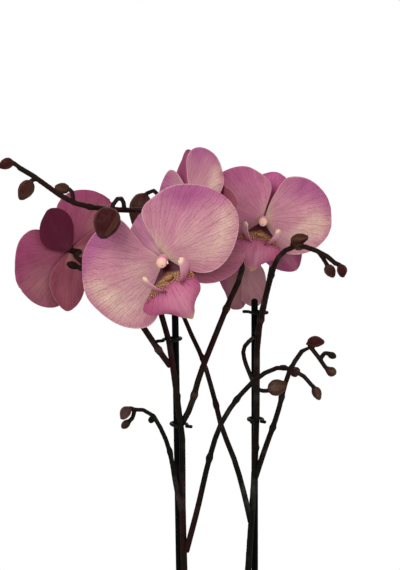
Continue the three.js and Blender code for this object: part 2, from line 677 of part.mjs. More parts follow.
const POT_SEGMENTS = 36;
const innerRadius = height => {
  const share = height / (POT_HEIGHT - RIM_HEIGHT);
  return POT_FOOT_RADIUS + (POT_TOP_RADIUS - POT_FOOT_RADIUS) * share - POT_WALL;
};
const potProfile = [
  [0, 0],
  [POT_FOOT_RADIUS - 2, 0],
  [POT_FOOT_RADIUS, 2],
  [POT_TOP_RADIUS, POT_HEIGHT - RIM_HEIGHT],
  [POT_TOP_RADIUS + RIM_OVERHANG, POT_HEIGHT - RIM_HEIGHT + 2],
  [POT_TOP_RADIUS + RIM_OVERHANG, POT_HEIGHT - 1.5],
  [POT_TOP_RADIUS + RIM_OVERHANG - 1.5, POT_HEIGHT],
  [POT_TOP_RADIUS - POT_WALL + 1, POT_HEIGHT],
  [POT_TOP_RADIUS - POT_WALL, POT_HEIGHT - 1],
  [innerRadius(POT_HEIGHT - RIM_HEIGHT), POT_HEIGHT - RIM_HEIGHT],
  [innerRadius(POT_FLOOR), POT_FLOOR],
  [0, POT_FLOOR],
];
add('pot', turned(potProfile, POT_SEGMENTS), POT_FINISH, 0);

// The bark fills the pot as one lumpy plug, with a seat for all that stands in it.
function barkPlug() {
  const bottom = POT_FLOOR + GAP;
  const rim = BARK_LEVEL - 3;
  const plug = turned([
    [0, bottom], [innerRadius(bottom) - GAP, bottom], [innerRadius(rim) - GAP, rim],
    [innerRadius(rim) - 6, BARK_LEVEL], [34, BARK_LEVEL + 1], [20, BARK_LEVEL + 2], [9, BARK_LEVEL + 1.5],
    [0, BARK_LEVEL + 1.5],
  ], 24);
  const spots = plug.attributes.position;
  for (let i = 0; i < spots.count; i++) {
    const [x, y, z] = [spots.getX(i), spots.getY(i), spots.getZ(i)];
    const lump = Math.sin(0.55 * x + 1.3 * Math.sin(0.31 * y)) * Math.cos(0.49 * y - 0.2 * x);
    if (z > rim + 0.5) spots.setZ(i, z + BARK_BUMP * lump);
  }
  const lowered = geometry => geometry.translate(0, 0, BARK_LEVEL);
  const tools = [crown(GAP), stake(STAKE_LEFT, GAP), stake(STAKE_RIGHT, GAP), clearance(SPIKE_LEFT), clearance(SPIKE_RIGHT)];
  Object.values(ROOTS).forEach(rows => tools.push(rootRod(rows, GAP)));
  return cut(plug, tools.map(lowered));
}
add('bark_mix', barkPlug(), BARK_FINISH, 0);

export default plant;
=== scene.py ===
import math

import bmesh
import bpy
import numpy as np
from mathutils import Matrix, Vector, noise
from mathutils.bvhtree import BVHTree


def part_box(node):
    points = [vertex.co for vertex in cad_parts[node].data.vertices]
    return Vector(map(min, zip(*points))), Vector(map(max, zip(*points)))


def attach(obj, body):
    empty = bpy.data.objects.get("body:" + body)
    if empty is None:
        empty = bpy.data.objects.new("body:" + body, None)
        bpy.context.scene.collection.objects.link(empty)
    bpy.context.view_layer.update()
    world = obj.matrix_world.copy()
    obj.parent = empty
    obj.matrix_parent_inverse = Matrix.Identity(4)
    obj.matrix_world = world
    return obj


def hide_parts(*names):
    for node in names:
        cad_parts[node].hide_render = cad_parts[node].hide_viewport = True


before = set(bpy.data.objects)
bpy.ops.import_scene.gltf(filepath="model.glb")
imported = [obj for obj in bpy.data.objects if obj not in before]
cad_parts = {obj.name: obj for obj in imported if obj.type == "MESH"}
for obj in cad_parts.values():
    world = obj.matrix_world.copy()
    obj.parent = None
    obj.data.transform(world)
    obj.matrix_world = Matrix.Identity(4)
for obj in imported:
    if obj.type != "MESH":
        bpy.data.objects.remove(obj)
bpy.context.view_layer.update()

MM = 0.001
BODY = "root"
TEPALS = ("petal_left", "petal_right", "sepal_dorsal", "sepal_left", "sepal_right")
# The petal reach that the flower's drawing below is made to, in millimetres.
DRAWN_REACH = 48.0
# Thickness of the flowers' sheets, in millimetres.
TEPAL_THICKNESS = 0.5
LIP_THICKNESS = 0.6
# Loose chips tried over the bark.
BARK_CHIPS = 430
FLOOR_RADIUS = 0.85
# Where the camera looks, how far off it stands, how far it looks down in degrees, and its lens.
CAMERA_TARGET = (-0.0086, 0, 0.480)
CAMERA_DISTANCE = 0.740
CAMERA_TILT = 4
CAMERA_LENS = 81.8

scene = bpy.context.scene


# ---- Small helpers ----

def srgb(red, green, blue):
    """Linear colour from 0-255 display values."""
    values = np.array([red, green, blue]) / 255
    linear = np.where(values <= 0.04045, values / 12.92, ((values + 0.055) / 1.055) ** 2.4)
    return linear.astype(float)


def mix(a, b, share):
    share = np.clip(share, 0, 1)[..., None]
    return a * (1 - share) + b * share


def smooth(value, low, high):
    t = np.clip((value - low) / (high - low), 0, 1)
    return t * t * (3 - 2 * t)


def fade(value, low, high):
    """1 at low and 0 at high."""
    return smooth(-value, -high, -low)


def curve_through(rows, at):
    """Smooth values of a table whose first column is the position."""
    rows = np.asarray(rows, float)
    x, y = rows[:, 0], rows[:, 1:]
    slope = np.gradient(y, x, axis=0)
    i = np.clip(np.searchsorted(x, at, side="right") - 1, 0, len(x) - 2)
    step = (x[i + 1] - x[i])[:, None]
    t = (at - x[i])[:, None] / step
    h00, h10 = 2 * t**3 - 3 * t**2 + 1, t**3 - 2 * t**2 + t
    h01, h11 = -2 * t**3 + 3 * t**2, t**3 - t**2
    return h00 * y[i] + h10 * step * slope[i] + h01 * y[i + 1] + h11 * step * slope[i + 1]


def unit(vector):
    return vector / np.linalg.norm(vector)


def profile(rows, at):
    """Each column of a table as smooth values, one per row of a grid."""
    return curve_through(rows, at).T[:, :, None]


def as_points(x, y, z):
    """A row for each point, from grids of its coordinates."""
    return np.stack(np.broadcast_arrays(x, y, z), axis=-1).reshape(-1, 3)


def noise_at(points, scale):
    """Smooth noise at each point, about -1 to 1."""
    return np.array([noise.noise(Vector(p) * scale) for p in points])


def sheet_grid(rows, columns):
    """Places along a sheet, 0 to 1, and across it, -1 to 1, and the sheet's faces."""
    s, v = np.meshgrid(np.linspace(0, 1, rows), np.linspace(-1, 1, columns), indexing="ij")
    return s, v, grid_faces(rows, columns)


def turns(count):
    """Even angles round a circle."""
    return np.arange(count) / count * 2 * math.pi


def tube_grid(rows, columns):
    """Places along a tube, 0 to 1, angles round it, and the tube's faces."""
    s, turn = np.meshgrid(np.linspace(0, 1, rows), turns(columns), indexing="ij")
    return s, turn, grid_faces(rows, columns, closed=True)


def read(items, key, width, kind=float):
    """A row of numbers for each item of a mesh's list."""
    values = np.empty(len(items) * width, kind)
    items.foreach_get(key, values)
    return values.reshape(-1, width)


def nodes_named(*starts):
    """The CAD nodes whose names start in one of these ways, in order."""
    return sorted(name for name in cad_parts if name.startswith(starts))


def node_points(node):
    """The separate corners of a CAD node, in millimetres."""
    points = read(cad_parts[node].data.vertices, "co", 3)
    return np.unique(np.round(points / MM, 4), axis=0)


def new_piece(name, points, faces, nodes, material):
    """A smooth mesh piece from points in metres."""
    mesh = bpy.data.meshes.new(name)
    mesh.from_pydata([tuple(p) for p in points], [], faces)
    mesh.update()
    return finish_piece(bpy.data.objects.new(name, mesh), nodes, material)


def finish_piece(piece, nodes, material):
    """Links a new object, gives it its material in one slot and its body, and hides the CAD nodes it stands
    in for.
    """
    scene.collection.objects.link(piece)
    piece.data.shade_smooth()
    piece.data.materials.clear()
    piece.data.materials.append(material)
    if nodes:
        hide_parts(*nodes)
    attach(piece, BODY)
    return piece


def paint(mesh, name, colors):
    """Stores one colour or number per point."""
    colors = np.asarray(colors, float)
    if colors.ndim == 1:
        colors = np.repeat(colors[:, None], 3, axis=1)
    layer = mesh.color_attributes.new(name, "FLOAT_COLOR", "POINT")
    layer.data.foreach_set("color", np.hstack([colors, np.ones((len(colors), 1))]).ravel())


def paint_uv(mesh, name, coordinates):
    """Stores a pair of numbers per point as a UV layer."""
    layer = mesh.uv_layers.new(name=name)
    corner = read(mesh.loops, "vertex_index", 1, int)[:, 0]
    layer.data.foreach_set("uv", np.asarray(coordinates, float)[corner].ravel())


def grid_faces(rows, columns, closed=False):
    faces = []
    for i in range(rows - 1):
        for j in range(columns if closed else columns - 1):
            k = (j + 1) % columns
            faces.append((i * columns + j, i * columns + k, (i + 1) * columns + k, (i + 1) * columns + j))
    return faces


def thicken(piece, thickness):
    solid = piece.modifiers.new("thickness", "SOLIDIFY")
    solid.thickness = thickness * MM
    solid.offset = 0


# ---- Materials ----

class Shader:
    """A material under construction, with one Principled shader."""

    def __init__(self, name, **sockets):
        self.material = bpy.data.materials.new(name)
        self.material.use_nodes = True
        self.tree = self.material.node_tree
        self.main = self.tree.nodes["Principled BSDF"]
        for socket, value in sockets.items():
            self.main.inputs[socket.replace("_", " ")].default_value = value

    def node(self, kind, inputs=None, **settings):
        node = self.tree.nodes.new("ShaderNode" + kind)
        for key, value in settings.items():
            setattr(node, key, value)
        for key, value in (inputs or {}).items():
            self.put(node.inputs[key], value)
        return node

    def put(self, socket, value):
        if isinstance(value, bpy.types.NodeSocket):
            self.tree.links.new(value, socket)
        elif hasattr(value, "__len__") and len(value) == 3 and socket.type == "RGBA":
            socket.default_value = (*value, 1)
        else:
            socket.default_value = value

    def stored(self, name):
        return self.node("VertexColor", layer_name=name).outputs["Color"]

    def uv(self, name):
        return self.node("UVMap", uv_map=name).outputs["UV"]

    def place(self):
        return self.node("TexCoord").outputs["Object"]

    def math(self, operation, a, b=0.0):
        return self.node("Math", {0: a, 1: b}, operation=operation).outputs[0]

    def times(self, a, b):
        return self.math("MULTIPLY", a, b)

    def scaled(self, vector, factors):
        """A vector or colour with each part multiplied."""
        return self.vector("MULTIPLY", vector, factors)

    def vector(self, operation, a, b):
        return self.node("VectorMath", {0: a, 1: b}, operation=operation).outputs[0]

    def noise(self, where, scale, detail=3, color=False):
        made = self.node("TexNoise", {"Vector": where, "Scale": scale, "Detail": detail})
        return made.outputs["Color" if color else "Fac"]

    def blend(self, a, b, share):
        made = self.node("Mix", data_type="RGBA", clamp_factor=True)
        for index, value in ((0, share), (6, a), (7, b)):
            self.put(made.inputs[index], value)
        return made.outputs[2]

    def ramp(self, value, low, high, start=0.0, end=1.0):
        made = self.node(
            "MapRange", {0: value, 1: low, 2: high, 3: start, 4: end}, interpolation_type="SMOOTHSTEP"
        )
        return made.outputs[0]

    def color(self, value):
        self.put(self.main.inputs["Base Color"], value)

    def rough(self, value):
        self.put(self.main.inputs["Roughness"], value)

    def cells(self, where, feature, scale=1.0, flat=True):
        """Distance to the nearest cell's middle (F1) or wall."""
        made = self.node(
            "TexVoronoi", {"Vector": where, "Scale": scale}, feature=feature,
            voronoi_dimensions="2D" if flat else "3D",
        )
        return made.outputs["Distance"]

    def fan_lines(self, angle, rate, width):
        """Thin lines at even angles."""
        wave = self.math("ABSOLUTE", self.math("SINE", self.times(angle, rate)))
        return self.ramp(wave, 0.0, width, 1.0, 0.0)

    def bump(self, height, strength, distance):
        made = self.node("Bump", {"Height": height, "Strength": strength, "Distance": distance * MM})
        self.put(self.main.inputs["Normal"], made.outputs[0])


# Veins per radian of a tepal's fan, times pi.
VEIN_RATE = 21.0


def tepal_material(name, vein_color, strength):
    """Soft petal tissue: painted tones, fine netted veins that fan from the base, and a pale rim."""
    sh = Shader(name, Roughness=0.62, Subsurface_Weight=0.12, Subsurface_Scale=0.002, Specular_IOR_Level=0.3)
    fan = sh.uv("fan")
    wobble = sh.noise(fan, 2.2, 3, color=True)
    drift = sh.vector("SUBTRACT", wobble, (0.5, 0.5, 0.5))
    bent = sh.vector("ADD", fan, sh.scaled(drift, (0.09, 0.5, 0)))
    split = sh.node("SeparateXYZ", {0: bent})
    reach = split.outputs[1]
    # Veins fork twice on the way out: each set has twice as many as the one before.
    veins = sh.fan_lines(split.outputs[0], VEIN_RATE, 0.26)
    for doubling, low, high in ((2, 1.2, 2.2), (4, 2.6, 3.8)):
        lines = sh.fan_lines(split.outputs[0], VEIN_RATE * doubling, 0.3)
        veins = sh.math("MAXIMUM", veins, sh.times(lines, sh.ramp(reach, low, high)))
    patchy = sh.ramp(sh.noise(fan, 5.0, 3), 0.3, 0.62, 0.35, 1.0)
    walls = sh.cells(sh.scaled(bent, (30, 2.6, 0)), "DISTANCE_TO_EDGE")
    net = sh.times(sh.ramp(walls, 0.0, 0.12, 1.0, 0.0), 0.42)
    veins = sh.math("MAXIMUM", sh.times(veins, patchy), net)
    cloud = sh.noise(sh.place(), 160.0, 4)
    streaks = sh.noise(sh.scaled(bent, (9, 0.9, 0)), 1.0, 4)
    tone = sh.stored("tone")
    tone = sh.blend(tone, sh.scaled(tone, (0.76, 0.6, 0.7)), sh.ramp(streaks, 0.45, 0.7, 0.0, 0.5))
    tone = sh.blend(tone, sh.scaled(tone, (1.2, 1.36, 1.26)), sh.ramp(streaks, 0.25, 0.45, 0.6, 0.0))
    vein_tone = sh.blend(sh.scaled(tone, (0.66, 0.42, 0.56)), vein_color, 0.3)
    tone = sh.blend(tone, vein_tone, sh.times(veins, strength))
    pale_tone = sh.scaled(tone, (1.15, 1.25, 1.2))
    sh.color(sh.blend(tone, pale_tone, sh.ramp(cloud, 0.45, 0.8, 0.0, 0.5)))
    sh.rough(sh.ramp(cloud, 0.3, 0.7, 0.54, 0.7))
    sh.bump(sh.math("SUBTRACT", sh.times(cloud, 0.4), veins), 0.35, 0.12)
    return sh.material


def lip_material():
    """Pink lip with dark veins on the middle lobe, and maroon spots over the yellow callus."""
    sh = Shader(
        "lip_tissue", Roughness=0.5, Subsurface_Weight=0.06, Subsurface_Scale=0.002, Specular_IOR_Level=0.2
    )
    fan = sh.uv("fan")
    split = sh.node("SeparateXYZ", {0: fan})
    wobble = sh.noise(fan, 3.0, 3)
    angle = sh.math("ADD", split.outputs[0], sh.times(wobble, 0.2))
    fine = sh.times(sh.fan_lines(angle, 34.0, 0.5), 0.5)
    veins = sh.math("MAXIMUM", sh.fan_lines(angle, 17.0, 0.4), fine)
    veins = sh.times(veins, sh.stored("veined"))
    spots = sh.cells(sh.scaled(fan, (26, 11.0, 0)), "F1")
    flecks = sh.times(sh.ramp(spots, 0.36, 0.5, 1.0, 0.0), sh.stored("spotted"))
    vein_share = sh.times(veins, sh.ramp(wobble, 0.35, 0.65, 0.2, 0.8))
    tone = sh.blend(sh.stored("tone"), srgb(112, 20, 60), vein_share)
    sh.color(sh.blend(tone, srgb(84, 14, 30), flecks))
    sh.rough(sh.ramp(sh.noise(sh.place(), 300.0), 0.3, 0.7, 0.42, 0.6))
    sh.bump(sh.math("SUBTRACT", sh.noise(sh.place(), 500.0), veins), 0.4, 0.15)
    return sh.material


def painted_material(name, roughness, grain, depth, shade, gloss, **sockets):
    """Painted tones under a fine grain, for columns, buds, stems and the like."""
    sh = Shader(name, Roughness=roughness, Specular_IOR_Level=gloss, **sockets)
    fine = sh.noise(sh.place(), grain, 4)
    coarse = sh.noise(sh.place(), grain / 9, 3)
    tone = sh.blend(sh.stored("tone"), (0, 0, 0), sh.ramp(fine, 0.42, 0.75, 0.0, shade))
    sh.color(sh.blend(tone, (1, 0.96, 0.9), sh.ramp(coarse, 0.5, 0.85, 0.0, shade / 8)))
    sh.rough(sh.ramp(fine, 0.3, 0.7, roughness - 0.08, roughness + 0.12))
    sh.bump(fine, 0.3, depth)
    return sh.material


def leaf_material():
    """Waxy strap leaf with a sunk midrib, faint length-wise veins and a paler underside edge."""
    sh = Shader("leaf_skin", Roughness=0.36, Specular_IOR_Level=0.55, Coat_Weight=0.12, Coat_Roughness=0.3)
    along = sh.uv("strap")
    split = sh.node("SeparateXYZ", {0: along})
    across = sh.math("ABSOLUTE", split.outputs[0])
    rib = sh.ramp(across, 0.0, 0.07, 1.0, 0.0)
    lines = sh.math("ABSOLUTE", sh.math("SINE", sh.times(split.outputs[0], 46.0)))
    mottle = sh.noise(sh.place(), 55.0, 5)
    fine = sh.noise(sh.place(), 900.0, 3)
    green = sh.blend(srgb(38, 74, 34), srgb(66, 104, 50), sh.ramp(mottle, 0.35, 0.7))
    green = sh.blend(green, srgb(96, 128, 66), sh.times(sh.ramp(lines, 0.0, 0.5, 1.0, 0.0), 0.16))
    green = sh.blend(green, srgb(120, 146, 84), sh.times(rib, 0.45))
    green = sh.blend(green, srgb(92, 60, 58), sh.times(sh.ramp(across, 0.86, 1.0), 0.45))
    sh.color(green)
    sh.rough(sh.ramp(mottle, 0.3, 0.7, 0.3, 0.46))
    height = sh.math("SUBTRACT", sh.times(fine, 0.3), sh.times(lines, 0.25))
    sh.bump(height, 0.25, 0.2)
    return sh.material


def bark_material():
    sh = Shader("fir_bark", Roughness=0.9)
    where = sh.place()
    grain = sh.noise(sh.scaled(where, (1, 1, 6)), 240.0, 6.0)
    coarse = sh.noise(where, 60.0, 4)
    brown = sh.blend(srgb(74, 48, 34), srgb(138, 98, 68), sh.ramp(grain, 0.35, 0.7))
    brown = sh.blend(brown, srgb(40, 27, 20), sh.ramp(coarse, 0.5, 0.75, 0.0, 0.8))
    sh.color(sh.blend(brown, sh.stored("tone"), 0.35))
    sh.rough(sh.ramp(coarse, 0.3, 0.7, 0.8, 0.98))
    sh.bump(sh.math("ADD", grain, sh.times(coarse, 0.5)), 0.8, 0.8)
    return sh.material


def pot_material():
    """Warm white glazed ceramic: an even glaze with faint pooling and tiny pinholes."""
    sh = Shader("pot_glaze", Roughness=0.22, Specular_IOR_Level=0.5, Coat_Weight=0.25, Coat_Roughness=0.12)
    where = sh.place()
    pool = sh.noise(where, 14.0, 2)
    speck = sh.cells(where, "F1", 210.0, flat=False)
    pits = sh.ramp(speck, 0.02, 0.09, 1.0, 0.0)
    glaze = sh.blend(srgb(236, 232, 224), srgb(242, 239, 232), sh.ramp(pool, 0.25, 0.8))
    sh.color(sh.blend(glaze, srgb(186, 174, 156), sh.times(pits, 0.3)))
    sh.rough(sh.ramp(pool, 0.2, 0.8, 0.2, 0.27))
    sh.bump(sh.math("SUBTRACT", sh.noise(where, 120.0, 2), pits), 0.15, 0.15)
    return sh.material


def plastic_material(name, color, roughness):
    sh = Shader(name, Roughness=roughness, Specular_IOR_Level=0.03)
    fine = sh.noise(sh.place(), 700.0, 3)
    wear = sh.noise(sh.place(), 90.0, 4)
    sh.color(sh.blend(color, color * 2.2 + 0.004, sh.ramp(wear, 0.5, 0.8, 0.0, 0.6)))
    sh.rough(sh.ramp(wear, 0.3, 0.7, roughness - 0.08, roughness + 0.12))
    sh.bump(fine, 0.25, 0.12)
    return sh.material


PETAL = tepal_material("petal_tissue", srgb(136, 60, 92), 0.85)
SEPAL = tepal_material("sepal_tissue", srgb(110, 40, 74), 0.7)
LIP = lip_material()
COLUMN = painted_material(
    "column_tissue", 0.42, 900.0, 0.06, 0.08, 0.25, Subsurface_Weight=0.15, Subsurface_Scale=0.002
)
STEM = painted_material("stem_skin", 0.42, 620.0, 0.12, 0.35, 0.03)
ROOT = painted_material("root_velamen", 0.75, 480.0, 0.2, 0.35, 0.2)
LEAF = leaf_material()
BARK = bark_material()
POT = pot_material()
STAKE = plastic_material("stake_coating", srgb(6, 6, 6), 0.5)
CLIP = plastic_material("clip_plastic", srgb(14, 17, 15), 0.4)


# ---- Flowers ----

class Flower:
    """A flower's own frame, read from its CAD tepals: x right, y to the dorsal sepal, z out of its face."""

    def __init__(self, letter):
        self.letter = letter
        points = {part: node_points(f"flower_{letter}_{part}") for part in TEPALS}
        guess = np.mean([p.mean(0) for p in points.values()], axis=0)
        self.ends = {part: self.find_ends(p, guess) for part, p in points.items()}
        petals = np.vstack([points["petal_left"], points["petal_right"]])
        normal = np.linalg.svd(petals - petals.mean(0), full_matrices=False)[2][2]
        sides = [self.ends[part][1] for part in ("sepal_left", "sepal_right")]
        x = unit(sides[1] - sides[0])
        dorsal = self.ends["sepal_dorsal"][1] - np.mean(sides, axis=0)
        if np.cross(x, dorsal) @ normal < 0:
            normal = -normal
        z = unit(normal - (normal @ x) * x)
        self.axes = np.array([x, np.cross(z, x), z])
        self.centre = self.crossing()
        self.size = np.mean([self.reach(part) for part in TEPALS[:2]]) / DRAWN_REACH
        self.points = points

    @staticmethod
    def find_ends(points, guess):
        """Middles of the root and tip rings of a tepal."""
        near = points[np.argmin(np.linalg.norm(points - guess, axis=1))]
        tip = points[np.argmax(np.linalg.norm(points - near, axis=1))]
        for _ in range(2):
            way = unit(tip - near)
            along = (points - near) @ way
            near = points[along < along.min() + 0.4].mean(0)
            tip = points[along > along.max() - 0.4].mean(0)
        return near, tip

    def crossing(self):
        """Where the tepals' lines cross in the flower's plane, at the level of the petals' roots."""
        total, target = np.zeros((2, 2)), np.zeros(2)
        for near, tip in self.ends.values():
            start, way = self.axes[:2] @ near, unit(self.axes[:2] @ (tip - near))
            away = np.eye(2) - np.outer(way, way)
            total += away
            target += away @ start
        flat = np.linalg.solve(total, target)
        level = np.mean([self.axes[2] @ self.ends[part][0] for part in TEPALS[:2]])
        return flat @ self.axes[:2] + level * self.axes[2]

    def local(self, points):
        return (np.asarray(points) - self.centre) @ self.axes.T

    def world(self, local):
        """Metres in the row frame, from millimetres in the flower's frame."""
        return (self.centre + np.asarray(local) @ self.axes) * MM

    def drawn(self, local):
        """World place of a point drawn for a flower of the drawn reach."""
        return self.world(np.asarray(local) * self.size)

    def reach(self, part):
        return np.linalg.norm(self.local(self.ends[part][1])[:2])


# How far a tepal runs in towards the centre beyond its CAD solid, in drawn millimetres.
ROOT_EXTRA = 2.2
# Share of a tepal's length and of its half-width.
PETAL_OUTLINE = [
    (0, 0.10), (0.03, 0.25), (0.08, 0.47), (0.14, 0.66), (0.22, 0.84), (0.32, 0.96), (0.44, 1.0),
    (0.57, 0.97), (0.7, 0.87), (0.81, 0.72), (0.9, 0.54), (0.96, 0.35), (0.99, 0.18), (1, 0.05),
]
SEPAL_OUTLINE = [
    (0, 0.18), (0.08, 0.38), (0.2, 0.66), (0.36, 0.92), (0.52, 1.0), (0.68, 0.92), (0.82, 0.7), (0.92, 0.44),
    (0.98, 0.2), (1, 0.05),
]
CREAM = srgb(206, 174, 158)
GREENISH = srgb(190, 164, 138)
PINK = srgb(188, 128, 143)
MAGENTA = srgb(164, 84, 132)
ROSE = srgb(172, 102, 126)
DEEP = srgb(146, 64, 104)
RIM = srgb(226, 196, 196)


def tissue_drift(u, v, seed):
    """Slow noise over a tepal."""
    return noise_at(np.column_stack([u * 2.4 + seed, v * 1.6, np.full(len(u), seed)]), 1)


def petal_tones(u, v, up, seed):
    """Colour over a petal; up is 1 towards the dorsal sepal and -1 away from it."""
    drift = tissue_drift(u, v, seed)
    pale = smooth(u + 0.25 * drift, 0.12, 0.6) * smooth(0.5 - up * 0.9 + 0.4 * drift, 0.1, 0.8)
    tone = mix(PINK, CREAM, pale * 0.85)
    tone = mix(tone, MAGENTA, smooth(up + 0.25 * drift, 0.15, 0.85) * smooth(u, 0.12, 0.6) * 0.9)
    tone = mix(tone, ROSE, smooth(-up + 0.2 * drift, 0.45, 1.0) * 0.7)
    tone = mix(tone, ROSE, smooth(u, 0.8, 1.0) * 0.55)
    tone = mix(tone, GREENISH, fade(u, 0.02, 0.16) * 0.8)
    edge = np.maximum(np.abs(v), smooth(u, 0.9, 1.0) * u)
    return mix(tone, RIM, smooth(edge, 0.965, 0.998) * 0.45)


def sepal_tones(u, v, _up, seed):
    """Colour over a sepal, which is the same on both sides of its midline."""
    drift = tissue_drift(u, v, seed)
    tone = mix(DEEP, ROSE, smooth(0.5 * drift + 0.5 - np.abs(v) * 0.6, 0.1, 0.7))
    tone = mix(tone, CREAM, smooth(-u + 0.1 * drift, -0.34, -0.1) * fade(np.abs(v), 0.2, 0.8) * 0.85)
    tone = mix(tone, DEEP, smooth(np.abs(v), 0.5, 0.9) * 0.35)
    edge = np.maximum(np.abs(v), smooth(u, 0.92, 1.0) * u)
    return mix(tone, RIM, smooth(edge, 0.955, 0.998) * 0.5)


# Outline, colours, material, rows and columns of each kind of tepal.
KINDS = {
    "petal": (PETAL_OUTLINE, petal_tones, PETAL, 56, 57),
    "sepal": (SEPAL_OUTLINE, sepal_tones, SEPAL, 44, 37),
}
# Tepals that are darker or paler than the rest, as (colour, share). The dark tints of c's dorsal and right
# sepals, of d's tepals and of e's petals are painted shade, for tepals that stand in shadow.
TINTS_AND_SHADE = {
    "a_sepal_dorsal": (srgb(204, 140, 168), 0.5),
    "b_sepal_dorsal": (srgb(190, 86, 144), 0.5),
    "b_petal_left": (srgb(192, 104, 142), 0.4),
    # Painted shade: c's dorsal and right sepals are darkened as if in shadow.
    "c_sepal_dorsal": (srgb(142, 58, 98), 0.8),
    "c_sepal_right": (srgb(136, 66, 74), 0.8),
    # Painted shade: d's dorsal sepal is nearly black-magenta, as if deep in shadow.
    "d_sepal_dorsal": (srgb(92, 0, 44), 0.96),
}
for pair, tint in (
    ("a_sepal", (srgb(146, 86, 96), 0.6)),
    # Painted shade: d's petals and sepals and e's petals are darkened as if in shadow.
    ("d_petal", (srgb(146, 48, 88), 0.7)),
    ("d_sepal", (srgb(146, 70, 80), 0.75)),
    ("e_petal", (srgb(96, 28, 50), 0.75)),
    ("e_sepal", (srgb(160, 128, 122), 0.6)),
):
    TINTS_AND_SHADE[pair + "_left"] = TINTS_AND_SHADE[pair + "_right"] = tint
# Width of some tepals' halves, towards the dorsal sepal and away from it, as shares of their CAD width.
HALVES = {
    "a_petal_left": (0.9, 1.0),
    "a_petal_right": (0.96, 0.77),
    "a_sepal_dorsal": (1.0, 1.12),
    "b_petal_right": (1.0, 0.84),
    "b_sepal_dorsal": (1.2, 1.2),
    "c_petal_left": (1.1, 1.0),
    "c_petal_right": (1.03, 0.9),
    "c_sepal_dorsal": (1.2, 1.2),
}
# Turn of some tepals about their own length, in degrees.
TWISTS = {"e_sepal_left": 38, "e_sepal_right": 38}
# Turn of some tepals within their flower's plane, in degrees anticlockwise, and their length as a share.
TURNS = {
    "a_petal_right": (-9, 1.09),
    "b_sepal_dorsal": (-6, 0.88),
    "c_petal_left": (4, 1.1),
    "c_petal_right": (0, 0.86),
    "c_sepal_dorsal": (0, 1.12),
    "c_sepal_right": (0, 1.2),
}
# Extra width of some petals' shoulders, beside the dorsal sepal, as a share; how far they sweep back, in
# drawn millimetres; and how far along the petal they spread, as a share.
SHOULDERS = {"a_petal_right": (0.16, 5.5, 0.13), "b_petal_left": (0.1, 4.0, 0.13)}
# How much narrower some petals are beside the dorsal sepal's root.
NOTCHES = {"a_petal_left": 0.5, "b_petal_right": 0.15}


def shoulder(key, u, v, upward):
    """Extra width near a petal's root as a share, and how far it sweeps back in drawn millimetres."""
    wider, sweep, stretch = SHOULDERS.get(key, (0.0, 0.0, 0.1))
    inner_half = smooth(upward, 0, 0.5)
    bulge = np.exp(-(((u - 0.18) / stretch) ** 2)) * inner_half
    notch = NOTCHES.get(key, 0.0) * fade(u, 0.12, 0.34) * inner_half
    return wider * bulge - notch, sweep * bulge * v**2


def tepal_places(rows, columns):
    """Places along a tepal, closer together at both its ends, and across it, closer at its margins."""
    share = np.linspace(0, 1, rows) ** 0.9
    share = 1 - (1 - share) ** 1.25
    return np.meshgrid(share, np.sin(np.linspace(-1, 1, columns) * math.pi / 2), indexing="ij")


def tepal_line(flower, part):
    """A tepal's root and tip, unit vectors along and across it, its length and half its width."""
    near, tip = (flower.local(end) for end in flower.ends[part])
    along = unit(np.append((tip - near)[:2], 0))
    near = near - along * ROOT_EXTRA * flower.size
    turn, longer = TURNS.get(f"{flower.letter}_{part}", (0, 1.0))
    length = np.linalg.norm((tip - near)[:2]) * longer
    along = np.array(Matrix.Rotation(math.radians(turn), 3, "Z") @ Vector(along))
    across = np.array([-along[1], along[0], 0])
    return near, tip, along, across, length, np.ptp(flower.local(flower.points[part]) @ across) / 2


